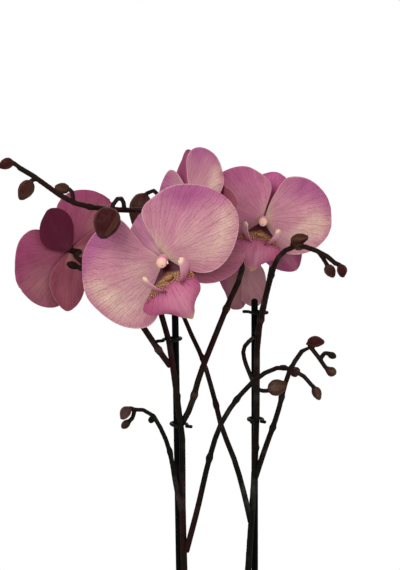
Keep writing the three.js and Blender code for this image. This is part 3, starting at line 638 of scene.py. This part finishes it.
def build_tepal(flower, part, seed):
    """One petal or sepal over its CAD solid: a thin sheet with a wavy margin."""
    key = f"{flower.letter}_{part}"
    kind = part.split("_")[0]
    is_petal = kind == "petal"
    outline, tones, material, rows, columns = KINDS[kind]
    near, tip, along, across, length, width = tepal_line(flower, part)
    u, v = tepal_places(rows, columns)
    half = curve_through(outline, u[:, 0]) * width * 1.015
    upward = v * np.sign(across[1]) if is_petal else v
    upper, lower = HALVES.get(key, (1.0, 1.0))
    side = v * half * (lower + (upper - lower) * smooth(upward, -0.3, 0.3))
    wider, swept = shoulder(key, u, v, upward)
    side = side * (1 + wider)
    # The outline wanders a little, and the rim waves more towards the tip.
    angle = np.arctan2(side, u * length + 4)
    ripple = np.sin(angle * 6.5 + seed) + 0.6 * np.sin(angle * 11 + 2.3 * seed)
    side = side * (1 + 0.018 * np.sin(7 * u + seed * 1.7))
    rim = np.abs(v) ** 4 * (0.35 + 0.65 * u) + smooth(u, 0.8, 1.0) * 0.7
    if is_petal:
        # A petal is cupped, with a soft swell along its middle.
        relief = 1.5 * (side / width) ** 2 + rim * ripple * 0.55
        relief = relief + 0.35 * np.cos(side * 0.22) * np.sin(math.pi * u)
    else:
        # A sepal is flatter, with a groove along its midrib.
        relief = 0.6 * (side / width) ** 2 + rim * ripple * 0.3
        relief = relief - 0.9 * np.exp(-(side / 1.6) ** 2) * (1 - u)
    lift = near[2] + (tip[2] - near[2]) * u**2 + relief
    reach = u * length + 0.35 * ripple * smooth(u, 0.85, 1.0) - swept * flower.size
    twist = math.radians(TWISTS.get(key, 0)) * smooth(u, 0, 0.4)
    root = near[None, None] * (1, 1, 0)
    local = root + reach[..., None] * along + (side * np.cos(twist))[..., None] * across
    local[..., 2] = lift + side * np.sin(twist)
    piece = new_piece(
        f"{part}_{flower.letter}_tissue", flower.world(local.reshape(-1, 3)), grid_faces(rows, columns),
        [f"flower_{flower.letter}_{part}"], material,
    )
    u, v, upward = u.ravel(), v.ravel(), upward.ravel()
    tone = tones(u, v, upward, seed)
    # Some of these tints are painted shade, darkening tepals of flowers c, d and e as if in shadow.
    tint, share = TINTS_AND_SHADE.get(key, (PINK, 0.0))
    paint(piece.data, "tone", tone * (1 - share) + tint * share)
    radius = np.hypot(side.ravel(), u * length + 4) / 10
    paint_uv(piece.data, "fan", np.column_stack([angle.ravel() + seed, radius]))
    thicken(piece, TEPAL_THICKNESS)


# Rows of the lip's middle lobe: share of its length, y, z and half-width in drawn millimetres.
LIP_ROWS = [
    (0.0, -3.8, 4.2, 2.8), (0.1, -7.4, 6.4, 6.4), (0.2, -11.2, 8.7, 10.4), (0.32, -15.3, 10.6, 14.8),
    (0.45, -19.3, 11.8, 18.0), (0.57, -23.2, 12.3, 18.2), (0.68, -26.9, 12.0, 14.8), (0.76, -29.6, 11.4, 9.8),
    (0.85, -32.4, 10.4, 6.4), (0.93, -35.2, 8.8, 4.4), (1.0, -37.2, 7.2, 1.4),
]
# How much wider each flower's lip is on its left than on its right.
LIP_SKEW = {"a": 0.25}
LIP_PINK = srgb(184, 98, 130)
LIP_MAGENTA = srgb(160, 68, 108)
LIP_PALE = srgb(200, 142, 156)
LIP_YELLOW = srgb(184, 138, 80)
LIP_TIP = srgb(186, 150, 96)
MAROON = srgb(66, 5, 26)
# Rows of a side lobe: share of its length, x, y, z and half-width in drawn millimetres.
LOBE_ROWS = [
    (0.0, 6.6, -15.6, 8.0, 4.6), (0.25, 9.0, -13.4, 10.4, 6.2), (0.5, 10.8, -10.4, 12.6, 5.6),
    (0.75, 11.6, -7.2, 14.4, 3.8), (0.92, 11.4, -4.8, 15.4, 2.2), (1.0, 11.0, -3.9, 15.8, 0.8),
]


def lip_sheet(flower, seed):
    """The lip's middle lobe, from the maroon throat over the spotted band to its pale tip."""
    s, v, faces = sheet_grid(60, 61)
    y, z, half = profile(LIP_ROWS, s[:, 0])
    wave = 0.8 * np.sin(v * 9 + 5 * s + seed) * np.abs(v) ** 3 * smooth(s, 0.3, 0.6)
    skew = LIP_SKEW.get(flower.letter, 0) * smooth(s, 0.2, 0.5)
    x = v * half * (1 + 0.04 * np.sin(10 * s + seed)) * (1 - skew * v)
    droop = smooth(np.abs(v), 0.35, 1.0) * smooth(s, 0.25, 0.6) * (1 - 0.5 * smooth(s, 0.7, 0.9))
    z = z - 4.2 * droop + wave
    z = z + 1.4 * np.exp(-(x / 1.5) ** 2) * smooth(s, 0.15, 0.5) * fade(s, 0.8, 1.0)
    y = y + 1.6 * np.abs(v) ** 2 * smooth(s, 0.3, 0.6) + 0.5 * wave
    local = as_points(x, y, z)
    s, v, x = s.ravel(), v.ravel(), x.ravel()
    tone = mix(LIP_PINK, LIP_MAGENTA, smooth(np.abs(v), 0.4, 1.0) * 0.75)
    tone = mix(tone, LIP_PALE, fade(np.abs(v), 0.1, 0.6) * smooth(s, 0.35, 0.6) * 0.4)
    band = s + 0.1 * (1 - np.abs(v))
    tone = mix(tone, LIP_YELLOW, fade(band, 0.3, 0.4))
    tone = mix(tone, MAROON, fade(band, 0.18, 0.26))
    tone = mix(tone, LIP_TIP, smooth(s, 0.88, 0.97) * 0.85)
    spotted = fade(band, 0.36, 0.46) * smooth(band, 0.16, 0.24)
    veined = smooth(band, 0.32, 0.42) * fade(s, 0.8, 0.97)
    veined = veined * (0.45 + 0.55 * fade(s, 0.42, 0.62))
    fan = np.column_stack([np.arctan2(x, 6 + s * 30) * 1.6 + seed, s * 3])
    return local, faces, tone, spotted, veined, fan


def lobe_sheet(hand, seed):
    """Side lobe that stands up beside the column, with a cream tip."""
    s, v, faces = sheet_grid(26, 17)
    x, y, z, half = profile(LOBE_ROWS, s[:, 0])
    curl = 1.3 * (1 - v**2)
    local = as_points(hand * (x + 0.55 * half * v), y + 0.35 * half * v - curl, z - 0.65 * half * v)
    s, v = s.ravel(), v.ravel()
    tone = mix(LIP_PINK, LIP_PALE, smooth(s, 0.3, 0.7))
    tone = mix(tone, srgb(236, 214, 172), smooth(s, 0.8, 0.97))
    tone = mix(tone, LIP_YELLOW, fade(s, 0.1, 0.3) * 0.7)
    spotted = fade(s, 0.2, 0.4)
    veined = smooth(-v, -0.6, 0.2) * fade(s, 0.5, 0.8)
    fan = np.column_stack([v * 0.35 + seed + hand, s * 1.4])
    return local, faces, tone, spotted, veined, fan


def callus_lump(seed):
    """The lumpy callus at the lip's throat."""
    s, turn, faces = tube_grid(20, 24)
    size = np.sin(np.clip(s, 0.02, 0.98) * math.pi) ** 0.6
    # Its front end forks into two knobs.
    lump = 1 + 0.22 * np.cos(2 * turn) * smooth(s, 0.5, 1) + 0.12 * np.sin(5 * turn + 8 * s + seed)
    fork = 1.1 * smooth(s, 0.55, 1.0) * np.sign(np.cos(turn))
    x = 1.7 * size * lump * np.cos(turn) + fork
    y = -11.6 + 1.5 * size * lump * np.sin(turn) + 1.2 * s
    local = as_points(x, y, 7.6 + 3.8 * s)
    s = s.ravel()
    tone = mix(srgb(84, 28, 30), srgb(176, 128, 84), smooth(s, 0.45, 1.0))
    spotted = 0.9 * fade(s, 0.3, 0.9)
    fan = np.column_stack([turn.ravel() * 0.2 + seed, s * 2])
    return local, faces, tone, spotted, 0 * s, fan


def build_lip(flower, seed, node):
    """The middle lobe, both side lobes and the callus, as one piece."""
    parts = [lip_sheet(flower, seed), lobe_sheet(1, seed), lobe_sheet(-1, seed), callus_lump(seed)]
    faces, start = [], 0
    for local, part_faces, *_ in parts:
        faces += [tuple(i + start for i in face) for face in part_faces]
        start += len(local)
    points, _, tone, spotted, veined, fan = (np.concatenate(rows) for rows in zip(*parts))
    piece = new_piece(f"lip_{flower.letter}_tissue", flower.drawn(points), faces, [node], LIP)
    paint(piece.data, "tone", tone)
    paint(piece.data, "spotted", spotted)
    paint(piece.data, "veined", veined)
    paint_uv(piece.data, "fan", fan)
    thicken(piece, LIP_THICKNESS)


# Rows of the column: share of its length, y, z, half-width and half-height in drawn millimetres.
COLUMN_ROWS = [
    (0.0, 0.0, -0.3, 2.5, 2.6), (0.15, 0.0, 1.2, 2.7, 2.9), (0.4, -0.2, 4.0, 2.6, 2.8),
    (0.62, -0.7, 6.6, 3.0, 2.9), (0.78, -1.2, 8.4, 3.2, 3.0), (0.9, -1.9, 10.0, 2.7, 2.5),
    (0.97, -2.5, 10.9, 1.7, 1.6), (1.0, -2.9, 11.2, 0.3, 0.3),
]


def build_column(flower, node):
    """The column: a short rod, hollowed below its rounded cap."""
    s, turn, faces = tube_grid(44, 36)
    y, z, wide, high = profile(COLUMN_ROWS, s[:, 0])
    under = np.clip(-np.sin(turn), 0, 1)
    hollow = 1 - 0.35 * under**2 * np.exp(-((s - 0.6) / 0.14) ** 2)
    cap = 1 - 0.07 * np.exp(-((s - 0.72) / 0.025) ** 2)
    local = as_points(wide * hollow * cap * np.cos(turn), y + high * hollow * cap * np.sin(turn), z)
    piece = new_piece(f"column_{flower.letter}_tissue", flower.drawn(local), faces, [node], COLUMN)
    s, under, side = s.ravel(), under.ravel(), np.cos(turn).ravel()
    tone = mix(srgb(226, 172, 176), srgb(212, 130, 160), smooth(s, 0.1, 0.5))
    tone = mix(tone, srgb(232, 182, 164), smooth(s, 0.72, 0.9))
    # Painted shade: the column's underside and flanks are darkened towards magenta.
    shaded_flank = smooth(under + 0.7 * np.abs(side), 0.6, 1.3) * smooth(s, 0.15, 0.4) * fade(s, 0.6, 0.78)
    tone = mix(tone, srgb(158, 60, 112), shaded_flank)
    tone = mix(tone, MAROON, smooth(under, 0.7, 1.0) * fade(s, 0.5, 0.7) * 0.7)
    paint(piece.data, "tone", tone)


for index, letter in enumerate("abcde"):
    flower = Flower(letter)
    for order, part in enumerate(TEPALS):
        build_tepal(flower, part, 1.7 * index + 2.9 * order)
    joined = f"flower_{letter}_lip_and_column"
    is_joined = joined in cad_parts
    build_lip(flower, index, joined if is_joined else f"flower_{letter}_lip")
    build_column(flower, joined if is_joined else f"flower_{letter}_column")


# ---- Stems, roots, clips and the crown: smooth skins over their CAD solids ----

def draft_of(node, refine=None):
    """A copy of a CAD node with its doubled points joined, for modifiers; refine edits its bmesh."""
    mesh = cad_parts[node].data.copy()
    work = bmesh.new()
    work.from_mesh(mesh)
    bmesh.ops.remove_doubles(work, verts=work.verts, dist=1e-6)
    if refine:
        refine(work)
    work.to_mesh(mesh)
    work.free()
    draft = bpy.data.objects.new(node + "_draft", mesh)
    scene.collection.objects.link(draft)
    return draft


def soften(draft, rounds):
    modifier = draft.modifiers.new("soften", "SMOOTH")
    modifier.factor = 0.5
    modifier.iterations = rounds


def settle(draft, name):
    """The draft's mesh with its modifiers applied, as a new object; the draft is removed."""
    graph = bpy.context.evaluated_depsgraph_get()
    skin = bpy.data.meshes.new_from_object(draft.evaluated_get(graph))
    bpy.data.objects.remove(draft)
    skin.name = name
    return bpy.data.objects.new(name, skin)


def smooth_skin(name, node, voxel, rounds, material, swell=0.0):
    """A CAD solid remeshed finely, smoothed so that its joints flow together, and swollen in millimetres."""
    draft = draft_of(node)
    remesh = draft.modifiers.new("remesh", "REMESH")
    remesh.mode = "VOXEL"
    remesh.voxel_size = voxel * MM
    soften(draft, rounds)
    grow = draft.modifiers.new("grow", "DISPLACE")
    grow.mid_level = 0
    grow.strength = swell * MM
    return finish_piece(settle(draft, name), [node], material)


def spread(values, edges, rounds):
    """Averages each value with its neighbours'."""
    count = np.bincount(edges.ravel(), minlength=len(values))
    for _ in range(rounds):
        total = np.bincount(edges[:, 0], values[edges[:, 1]], len(values))
        total += np.bincount(edges[:, 1], values[edges[:, 0]], len(values))
        values = 0.5 * values + 0.5 * total / np.maximum(count, 1)
    return values


def girth(mesh, points, edges):
    """How thick the body is under each point, in millimetres."""
    normals = read(mesh.vertices, "normal", 3)
    tree = BVHTree.FromPolygons([tuple(p) for p in points], [tuple(f.vertices) for f in mesh.polygons])
    depth = np.empty(len(points))
    for i, (p, n) in enumerate(zip(points, normals)):
        inward = Vector(-n)
        hit = tree.ray_cast(Vector(p) + inward * 2e-5, inward)
        depth[i] = hit[3] / MM if hit[3] else 0
    return spread(depth, edges, 8)


def clusters(flags, edges):
    """Numbers the connected sets of flagged points from 1; the rest are 0."""
    label = np.where(flags, np.arange(1, len(flags) + 1), 0)
    inner = edges[flags[edges[:, 0]] & flags[edges[:, 1]]]
    while len(inner):
        low = np.minimum(label[inner[:, 0]], label[inner[:, 1]])
        before = label.copy()
        np.minimum.at(label, inner[:, 0], low)
        np.minimum.at(label, inner[:, 1], low)
        if (before == label).all():
            break
    return label


STEM_GREEN = srgb(18, 18, 13)
STEM_BROWN = srgb(40, 23, 20)
STEM_RED = srgb(48, 14, 17)
SHEATH = srgb(74, 52, 42)
BUD_RED = srgb(62, 24, 26)
BUD_OLIVE = srgb(66, 44, 32)
BUD_PAINTED_HIGHLIGHT = srgb(118, 82, 66)
BUD_DARK = srgb(28, 7, 9)
# A stem thicker than this, in millimetres, is a bud if it has enough points.
BUD_GIRTH = 5.0
BUD_POINTS = 60


def build_stem(node, has_buds):
    """A stem with its stalks, greener below and redder above, and its buds."""
    mesh = smooth_skin(node + "_skin", node, 0.5, 5, STEM, swell=0.3).data
    points = read(mesh.vertices, "co", 3)
    drift = noise_at(points, 28)
    fine = noise_at(points, 260)
    height = points[:, 2]
    top = smooth(height, 0.36, 0.47)
    tone = mix(STEM_GREEN, STEM_BROWN, top * 0.75 + 0.5 * drift)
    tone = mix(tone, STEM_RED, smooth(drift + 0.6 * fine, 0.15, 0.6) * 0.5)
    if has_buds:
        edges = read(mesh.edges, "vertices", 2, int)
        thick = girth(mesh, points, edges)
        tone = mix(tone, SHEATH, smooth(thick, 3.9, 4.5) * 0.5)
        label = clusters(thick > BUD_GIRTH, edges)
        moved = points.copy()
        for number in np.unique(label[label > 0]):
            chosen = np.flatnonzero(label == number)
            if len(chosen) < BUD_POINTS:
                continue
            tone[chosen], moved[chosen] = dress_bud(points[chosen], drift[chosen], fine[chosen])
        mesh.vertices.foreach_set("co", moved.ravel())
        mesh.update()
    paint(mesh, "tone", tone)


def dress_bud(points, drift, fine):
    """Colours and shape of one bud: round, with three seams where its sepals meet, and a painted highlight
    along its lobes.
    """
    centre = points.mean(0)
    axes = np.linalg.svd(points - centre, full_matrices=False)[2]
    local = (points - centre) @ axes.T
    turn = np.arctan2(local[:, 2], local[:, 1])
    length = np.abs(local[:, 0]).max()
    along = local[:, 0] / length
    radius = np.hypot(local[:, 1], local[:, 2])
    # The CAD bud's flat sides become round: each point takes the usual radius at its place along the bud.
    stations = np.linspace(-1, 1, 15)
    weight = np.exp(-(((along[:, None] - stations) / 0.1) ** 2))
    usual = np.interp(along, stations, (weight * radius[:, None]).sum(0) / weight.sum(0))
    inner = fade(np.abs(along), 0.7, 0.97)
    lobes = np.cos(3 * turn + 0.8 * along)
    # The bud is closed at its tip and open towards its stalk.
    order = np.argsort(along)
    tip = 1 if radius[order[-12:]].mean() < radius[order[:12]].mean() else -1
    seam = np.exp(-(np.sin(1.5 * turn + 0.4 * along) / 0.1) ** 2) * inner
    egg = 1 - 0.1 * tip * along
    target = usual * egg * (1.02 + 0.03 * lobes) - seam * 0.6 * MM
    grown = radius + (target - radius) * inner
    local[:, 1:] *= (grown / np.maximum(radius, 1e-9))[:, None]
    local[:, 0] *= 1 + 0.09 * smooth(tip * along, 0.0, 0.9)
    tone = mix(BUD_RED, BUD_OLIVE, smooth(np.sin(turn + 1.2) + 1.2 * drift + 0.3 * fine, 0.0, 1.1) * 0.8)
    tone = mix(tone, BUD_DARK, np.clip(seam * 0.85 + smooth(np.abs(along), 0.75, 1.0) * 0.5, 0, 1))
    # Painted highlight: a lighter colour along the crests of the bud's lobes.
    tone = mix(tone, BUD_PAINTED_HIGHLIGHT, smooth(lobes, 0.3, 1.0) * inner * 0.4)
    ribs = np.abs(np.sin(9 * turn)) * 0.18
    return mix(tone, BUD_DARK, ribs * inner), centre + local @ axes


for node in nodes_named("spike_", "branch_", "shoot_"):
    build_stem(node, node.startswith("branch_"))


def build_root(node):
    """A silvery aerial root with green patches; one that hangs outside the pot has a green tip."""
    piece = smooth_skin(node + "_skin", node, 0.6, 6, ROOT)
    points = read(piece.data.vertices, "co", 3)
    drift = noise_at(points, 45)
    bark_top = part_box("bark_mix")[1].z
    tone = mix(srgb(150, 160, 138), srgb(182, 186, 170), 0.5 + drift)
    tone = mix(tone, srgb(104, 128, 74), smooth(drift, 0.1, 0.5) * 0.6)
    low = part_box(node)[0]
    tip = smooth(-points[:, 2], -low.z - 0.012, -low.z - 0.002)
    if low.z < bark_top - 0.03 and low.y < -0.06:
        tone = mix(tone, srgb(96, 128, 58), tip)
    paint(piece.data, "tone", tone)


for node in nodes_named("root_"):
    build_root(node)
for node in nodes_named("clip_"):
    smooth_skin(node + "_wire", node, 0.28, 4, CLIP, swell=0.15)


def build_crown():
    piece = smooth_skin("crown_skin", "crown", 0.8, 8, COLUMN)
    points = read(piece.data.vertices, "co", 3)
    drift = noise_at(points, 90)
    low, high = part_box("crown")
    share = (points[:, 2] - low.z) / (high.z - low.z)
    tone = mix(srgb(120, 96, 64), srgb(96, 122, 62), smooth(share + 0.3 * drift, 0.35, 0.6))
    paint(piece.data, "tone", mix(tone, srgb(66, 98, 44), smooth(share, 0.7, 1.0)))


build_crown()


# ---- Stakes ----

def build_stake(node):
    """Straight coated rod with rounded ends and faint rings along it."""
    points = node_points(node)
    low = points[points[:, 2] < points[:, 2].min() + 1].mean(0)
    high = points[points[:, 2] > points[:, 2].max() - 1].mean(0)
    length = np.linalg.norm(high - low)
    way = (high - low) / length
    radius = np.linalg.norm(np.cross(points - low, way), axis=1).max()
    side = unit(np.cross(way, (0, 1, 0)))
    deep = np.cross(way, side)
    round_end = [0.0, 0.12, 0.4, 0.9, 1.6]
    stations = np.concatenate([round_end, np.arange(4, length - 4, 4.0), length - np.array(round_end[::-1])])
    from_end = np.minimum(stations, length - stations)
    share = np.clip(from_end / round_end[-1], 0, 1)
    size = np.sqrt(np.clip(1 - (1 - share) ** 2, 0.0009, 1)) * radius
    size = size * (1 - 0.012 * (np.arange(len(size)) % 2))
    columns = 24
    turn = turns(columns)
    ring = np.cos(turn)[:, None] * side + np.sin(turn)[:, None] * deep
    local = low + stations[:, None, None] * way + size[:, None, None] * ring
    faces = grid_faces(len(stations), columns, closed=True)
    last = (len(stations) - 1) * columns
    faces += [tuple(range(columns))[::-1], tuple(range(last, last + columns))]
    new_piece(node + "_rod", local.reshape(-1, 3) * MM, faces, [node], STAKE)


build_stake("stake_left")
build_stake("stake_right")


# ---- Leaves ----

def quads_of(work):
    """Joins a mesh's triangles into quads and splits each edge once."""
    bmesh.ops.join_triangles(
        work, faces=work.faces, angle_face_threshold=0.9, angle_shape_threshold=1.5, cmp_seam=False,
        cmp_sharp=False, cmp_uvs=False, cmp_vcols=False, cmp_materials=False,
    )
    bmesh.ops.subdivide_edges(work, edges=work.edges, cuts=1, use_grid_fill=True)


def build_leaf(node):
    """A rounded strap leaf with a groove along its midrib and a gently waved margin."""
    draft = draft_of(node, quads_of)
    draft.modifiers.new("round", "SUBSURF").levels = 2
    soften(draft, 6)
    piece = finish_piece(settle(draft, node + "_blade"), [node], LEAF)
    points = read(piece.data.vertices, "co", 3)
    heading = unit(points.mean(0)[:2])
    out = points[:, :2] @ heading
    side = points[:, 0] * -heading[1] + points[:, 1] * heading[0]
    stations = 40
    bins = np.clip(((out - out.min()) / np.ptp(out) * stations).astype(int), 0, stations - 1)
    widest = np.array([np.abs(side[bins == b]).max() if (bins == b).any() else 0.01 for b in range(stations)])
    across = side / np.maximum(widest[bins], 0.004)
    groove = np.exp(-(side / (1.3 * MM)) ** 2) * 0.5 * MM
    wave = 0.9 * MM * np.sin(out * 70 + heading[0] * 3) * np.abs(across) ** 3 * smooth(out, 0.03, 0.09)
    points[:, 2] += wave - groove
    piece.data.vertices.foreach_set("co", points.ravel())
    piece.data.update()
    paint_uv(piece.data, "strap", np.column_stack([across, out * 10]))


for node in nodes_named("leaf_"):
    build_leaf(node)


# ---- Pot and bark ----

def pot_profile():
    """(radius, height) rows of the pot's CAD profile, in order along its outline, in millimetres."""
    points = node_points("pot")
    rows = np.column_stack([np.hypot(points[:, 0], points[:, 1]), points[:, 2]])
    rows = np.unique(np.round(rows, 2), axis=0)
    rows = rows[rows[:, 0] > 0.5]
    wall = rows[:, 1].max()
    mouth = rows[rows[:, 1] > wall - 0.01][:, 0].min()
    outer, inner = [], []
    for radius, height in rows:
        same = rows[np.abs(rows[:, 1] - height) < 12][:, 0]
        is_outer = radius > mouth or height < 4 or radius >= same.max() - 0.6
        (outer if is_outer else inner).append((radius, height))
    outer.sort(key=lambda r: (r[1], r[0] if r[1] < wall - 0.01 else -r[0]))
    inner.sort(key=lambda r: -r[1])
    return outer + inner


def build_pot():
    """The pot turned from its CAD profile, with faint throwing lines and softened edges."""
    rows = pot_profile()
    outline = np.array([(0.0, rows[0][1])] + rows + [(0.0, rows[-1][1])], float)
    fine = []
    for a, b in zip(outline[:-1], outline[1:]):
        steps = max(1, int(np.linalg.norm(b - a) / 4))
        fine += [a + (b - a) * k / steps for k in range(steps)]
    radius, height = np.array(fine + [outline[-1]]).T[:, :, None]
    radius = radius + 0.18 * np.sin(height * 1.1) * (radius > 40) * (height > 6)
    segments = 128
    turn = turns(segments)
    local = as_points(radius * np.cos(turn), radius * np.sin(turn), height)
    faces = grid_faces(len(radius), segments, closed=True)
    piece = new_piece("pot_body", local * MM, faces, ["pot"], POT)
    mesh = bmesh.new()
    mesh.from_mesh(piece.data)
    bmesh.ops.remove_doubles(mesh, verts=mesh.verts, dist=1e-5)
    bmesh.ops.recalc_face_normals(mesh, faces=mesh.faces)
    mesh.to_mesh(piece.data)
    mesh.free()
    piece.data.shade_smooth()
    edge = piece.modifiers.new("soft_edge", "BEVEL")
    edge.width = 0.5 * MM
    edge.segments = 2
    edge.limit_method = "ANGLE"
    edge.angle_limit = math.radians(28)


build_pot()


def build_bark():
    """Loose chips heaped over the top of the bark's CAD plug."""
    rng = np.random.default_rng(5)
    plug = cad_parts["bark_mix"]
    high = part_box("bark_mix")[1]
    tree = BVHTree.FromObject(plug, bpy.context.evaluated_depsgraph_get())
    limit = high.x - 3 * MM
    standing = nodes_named("stake_", "spike_", "root_", "crown")
    standing = np.vstack([node_points(node) * MM for node in standing])
    standing = standing[np.abs(standing[:, 2] - high.z) < 0.02]
    points, faces, tones = [], [], []
    for _ in range(BARK_CHIPS):
        reach, turn = limit * math.sqrt(rng.random()), rng.random() * 2 * math.pi
        x, y = reach * math.cos(turn), reach * math.sin(turn)
        hit = tree.ray_cast(Vector((x, y, high.z + 0.02)), Vector((0, 0, -1)))
        if hit[0] is None or hit[0].z < high.z - 0.012:
            continue
        half = np.array([rng.uniform(3.2, 7.5), rng.uniform(2.2, 4.6), rng.uniform(1.0, 2.2)]) * MM
        gap = np.hypot(standing[:, 0] - x, standing[:, 1] - y).min()
        half[:2] *= min(1.0, max(0.25, gap / (9 * MM)))
        if reach + half[0] > limit:
            continue
        chip = bmesh.new()
        bmesh.ops.create_cube(chip, size=2)
        bmesh.ops.subdivide_edges(chip, edges=chip.edges, cuts=2, use_grid_fill=True)
        turnings = Matrix.Rotation(rng.random() * 6.28, 3, "Z") @ Matrix.Rotation(rng.normal(0, 0.32), 3, "X")
        turnings = turnings @ Matrix.Rotation(rng.normal(0, 0.28), 3, "Y")
        seed = rng.random() * 50
        for v in chip.verts:
            knocked = 0.16 * (abs(v.co.x * v.co.y) + abs(v.co.y * v.co.z))
            wear = 1 - knocked + 0.3 * noise.noise(v.co * 1.6 + Vector((seed, 0, 0)))
            v.co = turnings @ Vector((v.co.x * half[0], v.co.y * half[1], v.co.z * half[2])) * wear
            v.co += Vector((x, y, hit[0].z + rng.uniform(-0.2, 0.2) * half[2]))
        chip.verts.ensure_lookup_table()
        start = len(points)
        points += [tuple(v.co) for v in chip.verts]
        faces += [tuple(start + v.index for v in f.verts) for f in chip.faces]
        shade = srgb(*(np.array([128, 88, 60]) * rng.uniform(0.55, 1.25)).clip(0, 255))
        tones += [shade] * len(chip.verts)
        chip.free()
    chips = new_piece("bark_chips", points, faces, (), BARK)
    paint(chips.data, "tone", np.array(tones))
    body = plug.data.copy()
    piece = finish_piece(bpy.data.objects.new("bark_body", body), ["bark_mix"], BARK)
    paint(piece.data, "tone", np.tile(srgb(70, 46, 32), (len(body.vertices), 1)))


build_bark()


# ---- Floor, light and camera ----

def build_floor():
    bpy.ops.mesh.primitive_circle_add(vertices=96, radius=FLOOR_RADIUS, fill_type="NGON")
    floor = bpy.context.object
    floor.name = "floor"
    sh = Shader("floor_paper", Roughness=0.85)
    sh.color(sh.blend((0.82, 0.82, 0.81), (0.86, 0.86, 0.85), sh.noise(sh.place(), 4.0)))
    floor.data.materials.append(sh.material)


def aim(thing, target):
    thing.rotation_euler = (Vector(target) - thing.location).to_track_quat("-Z", "Y").to_euler()


def add_light(name, energy, size, place, target):
    lamp = bpy.data.objects.new(name, bpy.data.lights.new(name, "AREA"))
    lamp.data.energy = energy
    lamp.data.size = size
    lamp.location = place
    aim(lamp, target)
    scene.collection.objects.link(lamp)


def build_world():
    """White to the camera; a softer white as light."""
    world = bpy.data.worlds.new("studio")
    scene.world = world
    world.use_nodes = True
    tree = world.node_tree
    seen = tree.nodes["Background"]
    light = tree.nodes.new("ShaderNodeBackground")
    for node, color, strength in ((seen, (1, 1, 1, 1), 1.0), (light, (1, 0.99, 0.98, 1), 0.5)):
        node.inputs[0].default_value = color
        node.inputs[1].default_value = strength
    ray = tree.nodes.new("ShaderNodeLightPath")
    choose = tree.nodes.new("ShaderNodeMixShader")
    tree.links.new(ray.outputs["Is Camera Ray"], choose.inputs[0])
    tree.links.new(light.outputs[0], choose.inputs[1])
    tree.links.new(seen.outputs[0], choose.inputs[2])
    tree.links.new(choose.outputs[0], tree.nodes["World Output"].inputs[0])


def build_camera():
    """Looks along +Y at the flowers, a little down from above them."""
    camera = bpy.data.objects.new("camera", bpy.data.cameras.new("camera"))
    scene.collection.objects.link(camera)
    camera.data.sensor_width = 36
    camera.data.lens = CAMERA_LENS
    camera.data.clip_start = 0.02
    target = Vector(CAMERA_TARGET)
    tilt = math.radians(CAMERA_TILT)
    camera.location = target + Vector((0, -math.cos(tilt), math.sin(tilt))) * CAMERA_DISTANCE
    aim(camera, target)
    scene.camera = camera


build_floor()
build_world()
add_light("key", 9.0, 0.7, (-0.55, -0.75, 1.15), (0, 0, 0.45))
add_light("fill", 3.5, 0.9, (0.8, -0.6, 0.7), (0, 0, 0.42))
add_light("back", 4.0, 0.8, (0.2, 0.9, 1.1), (0, 0, 0.4))
build_camera()
scene.view_settings.view_transform = "Standard"
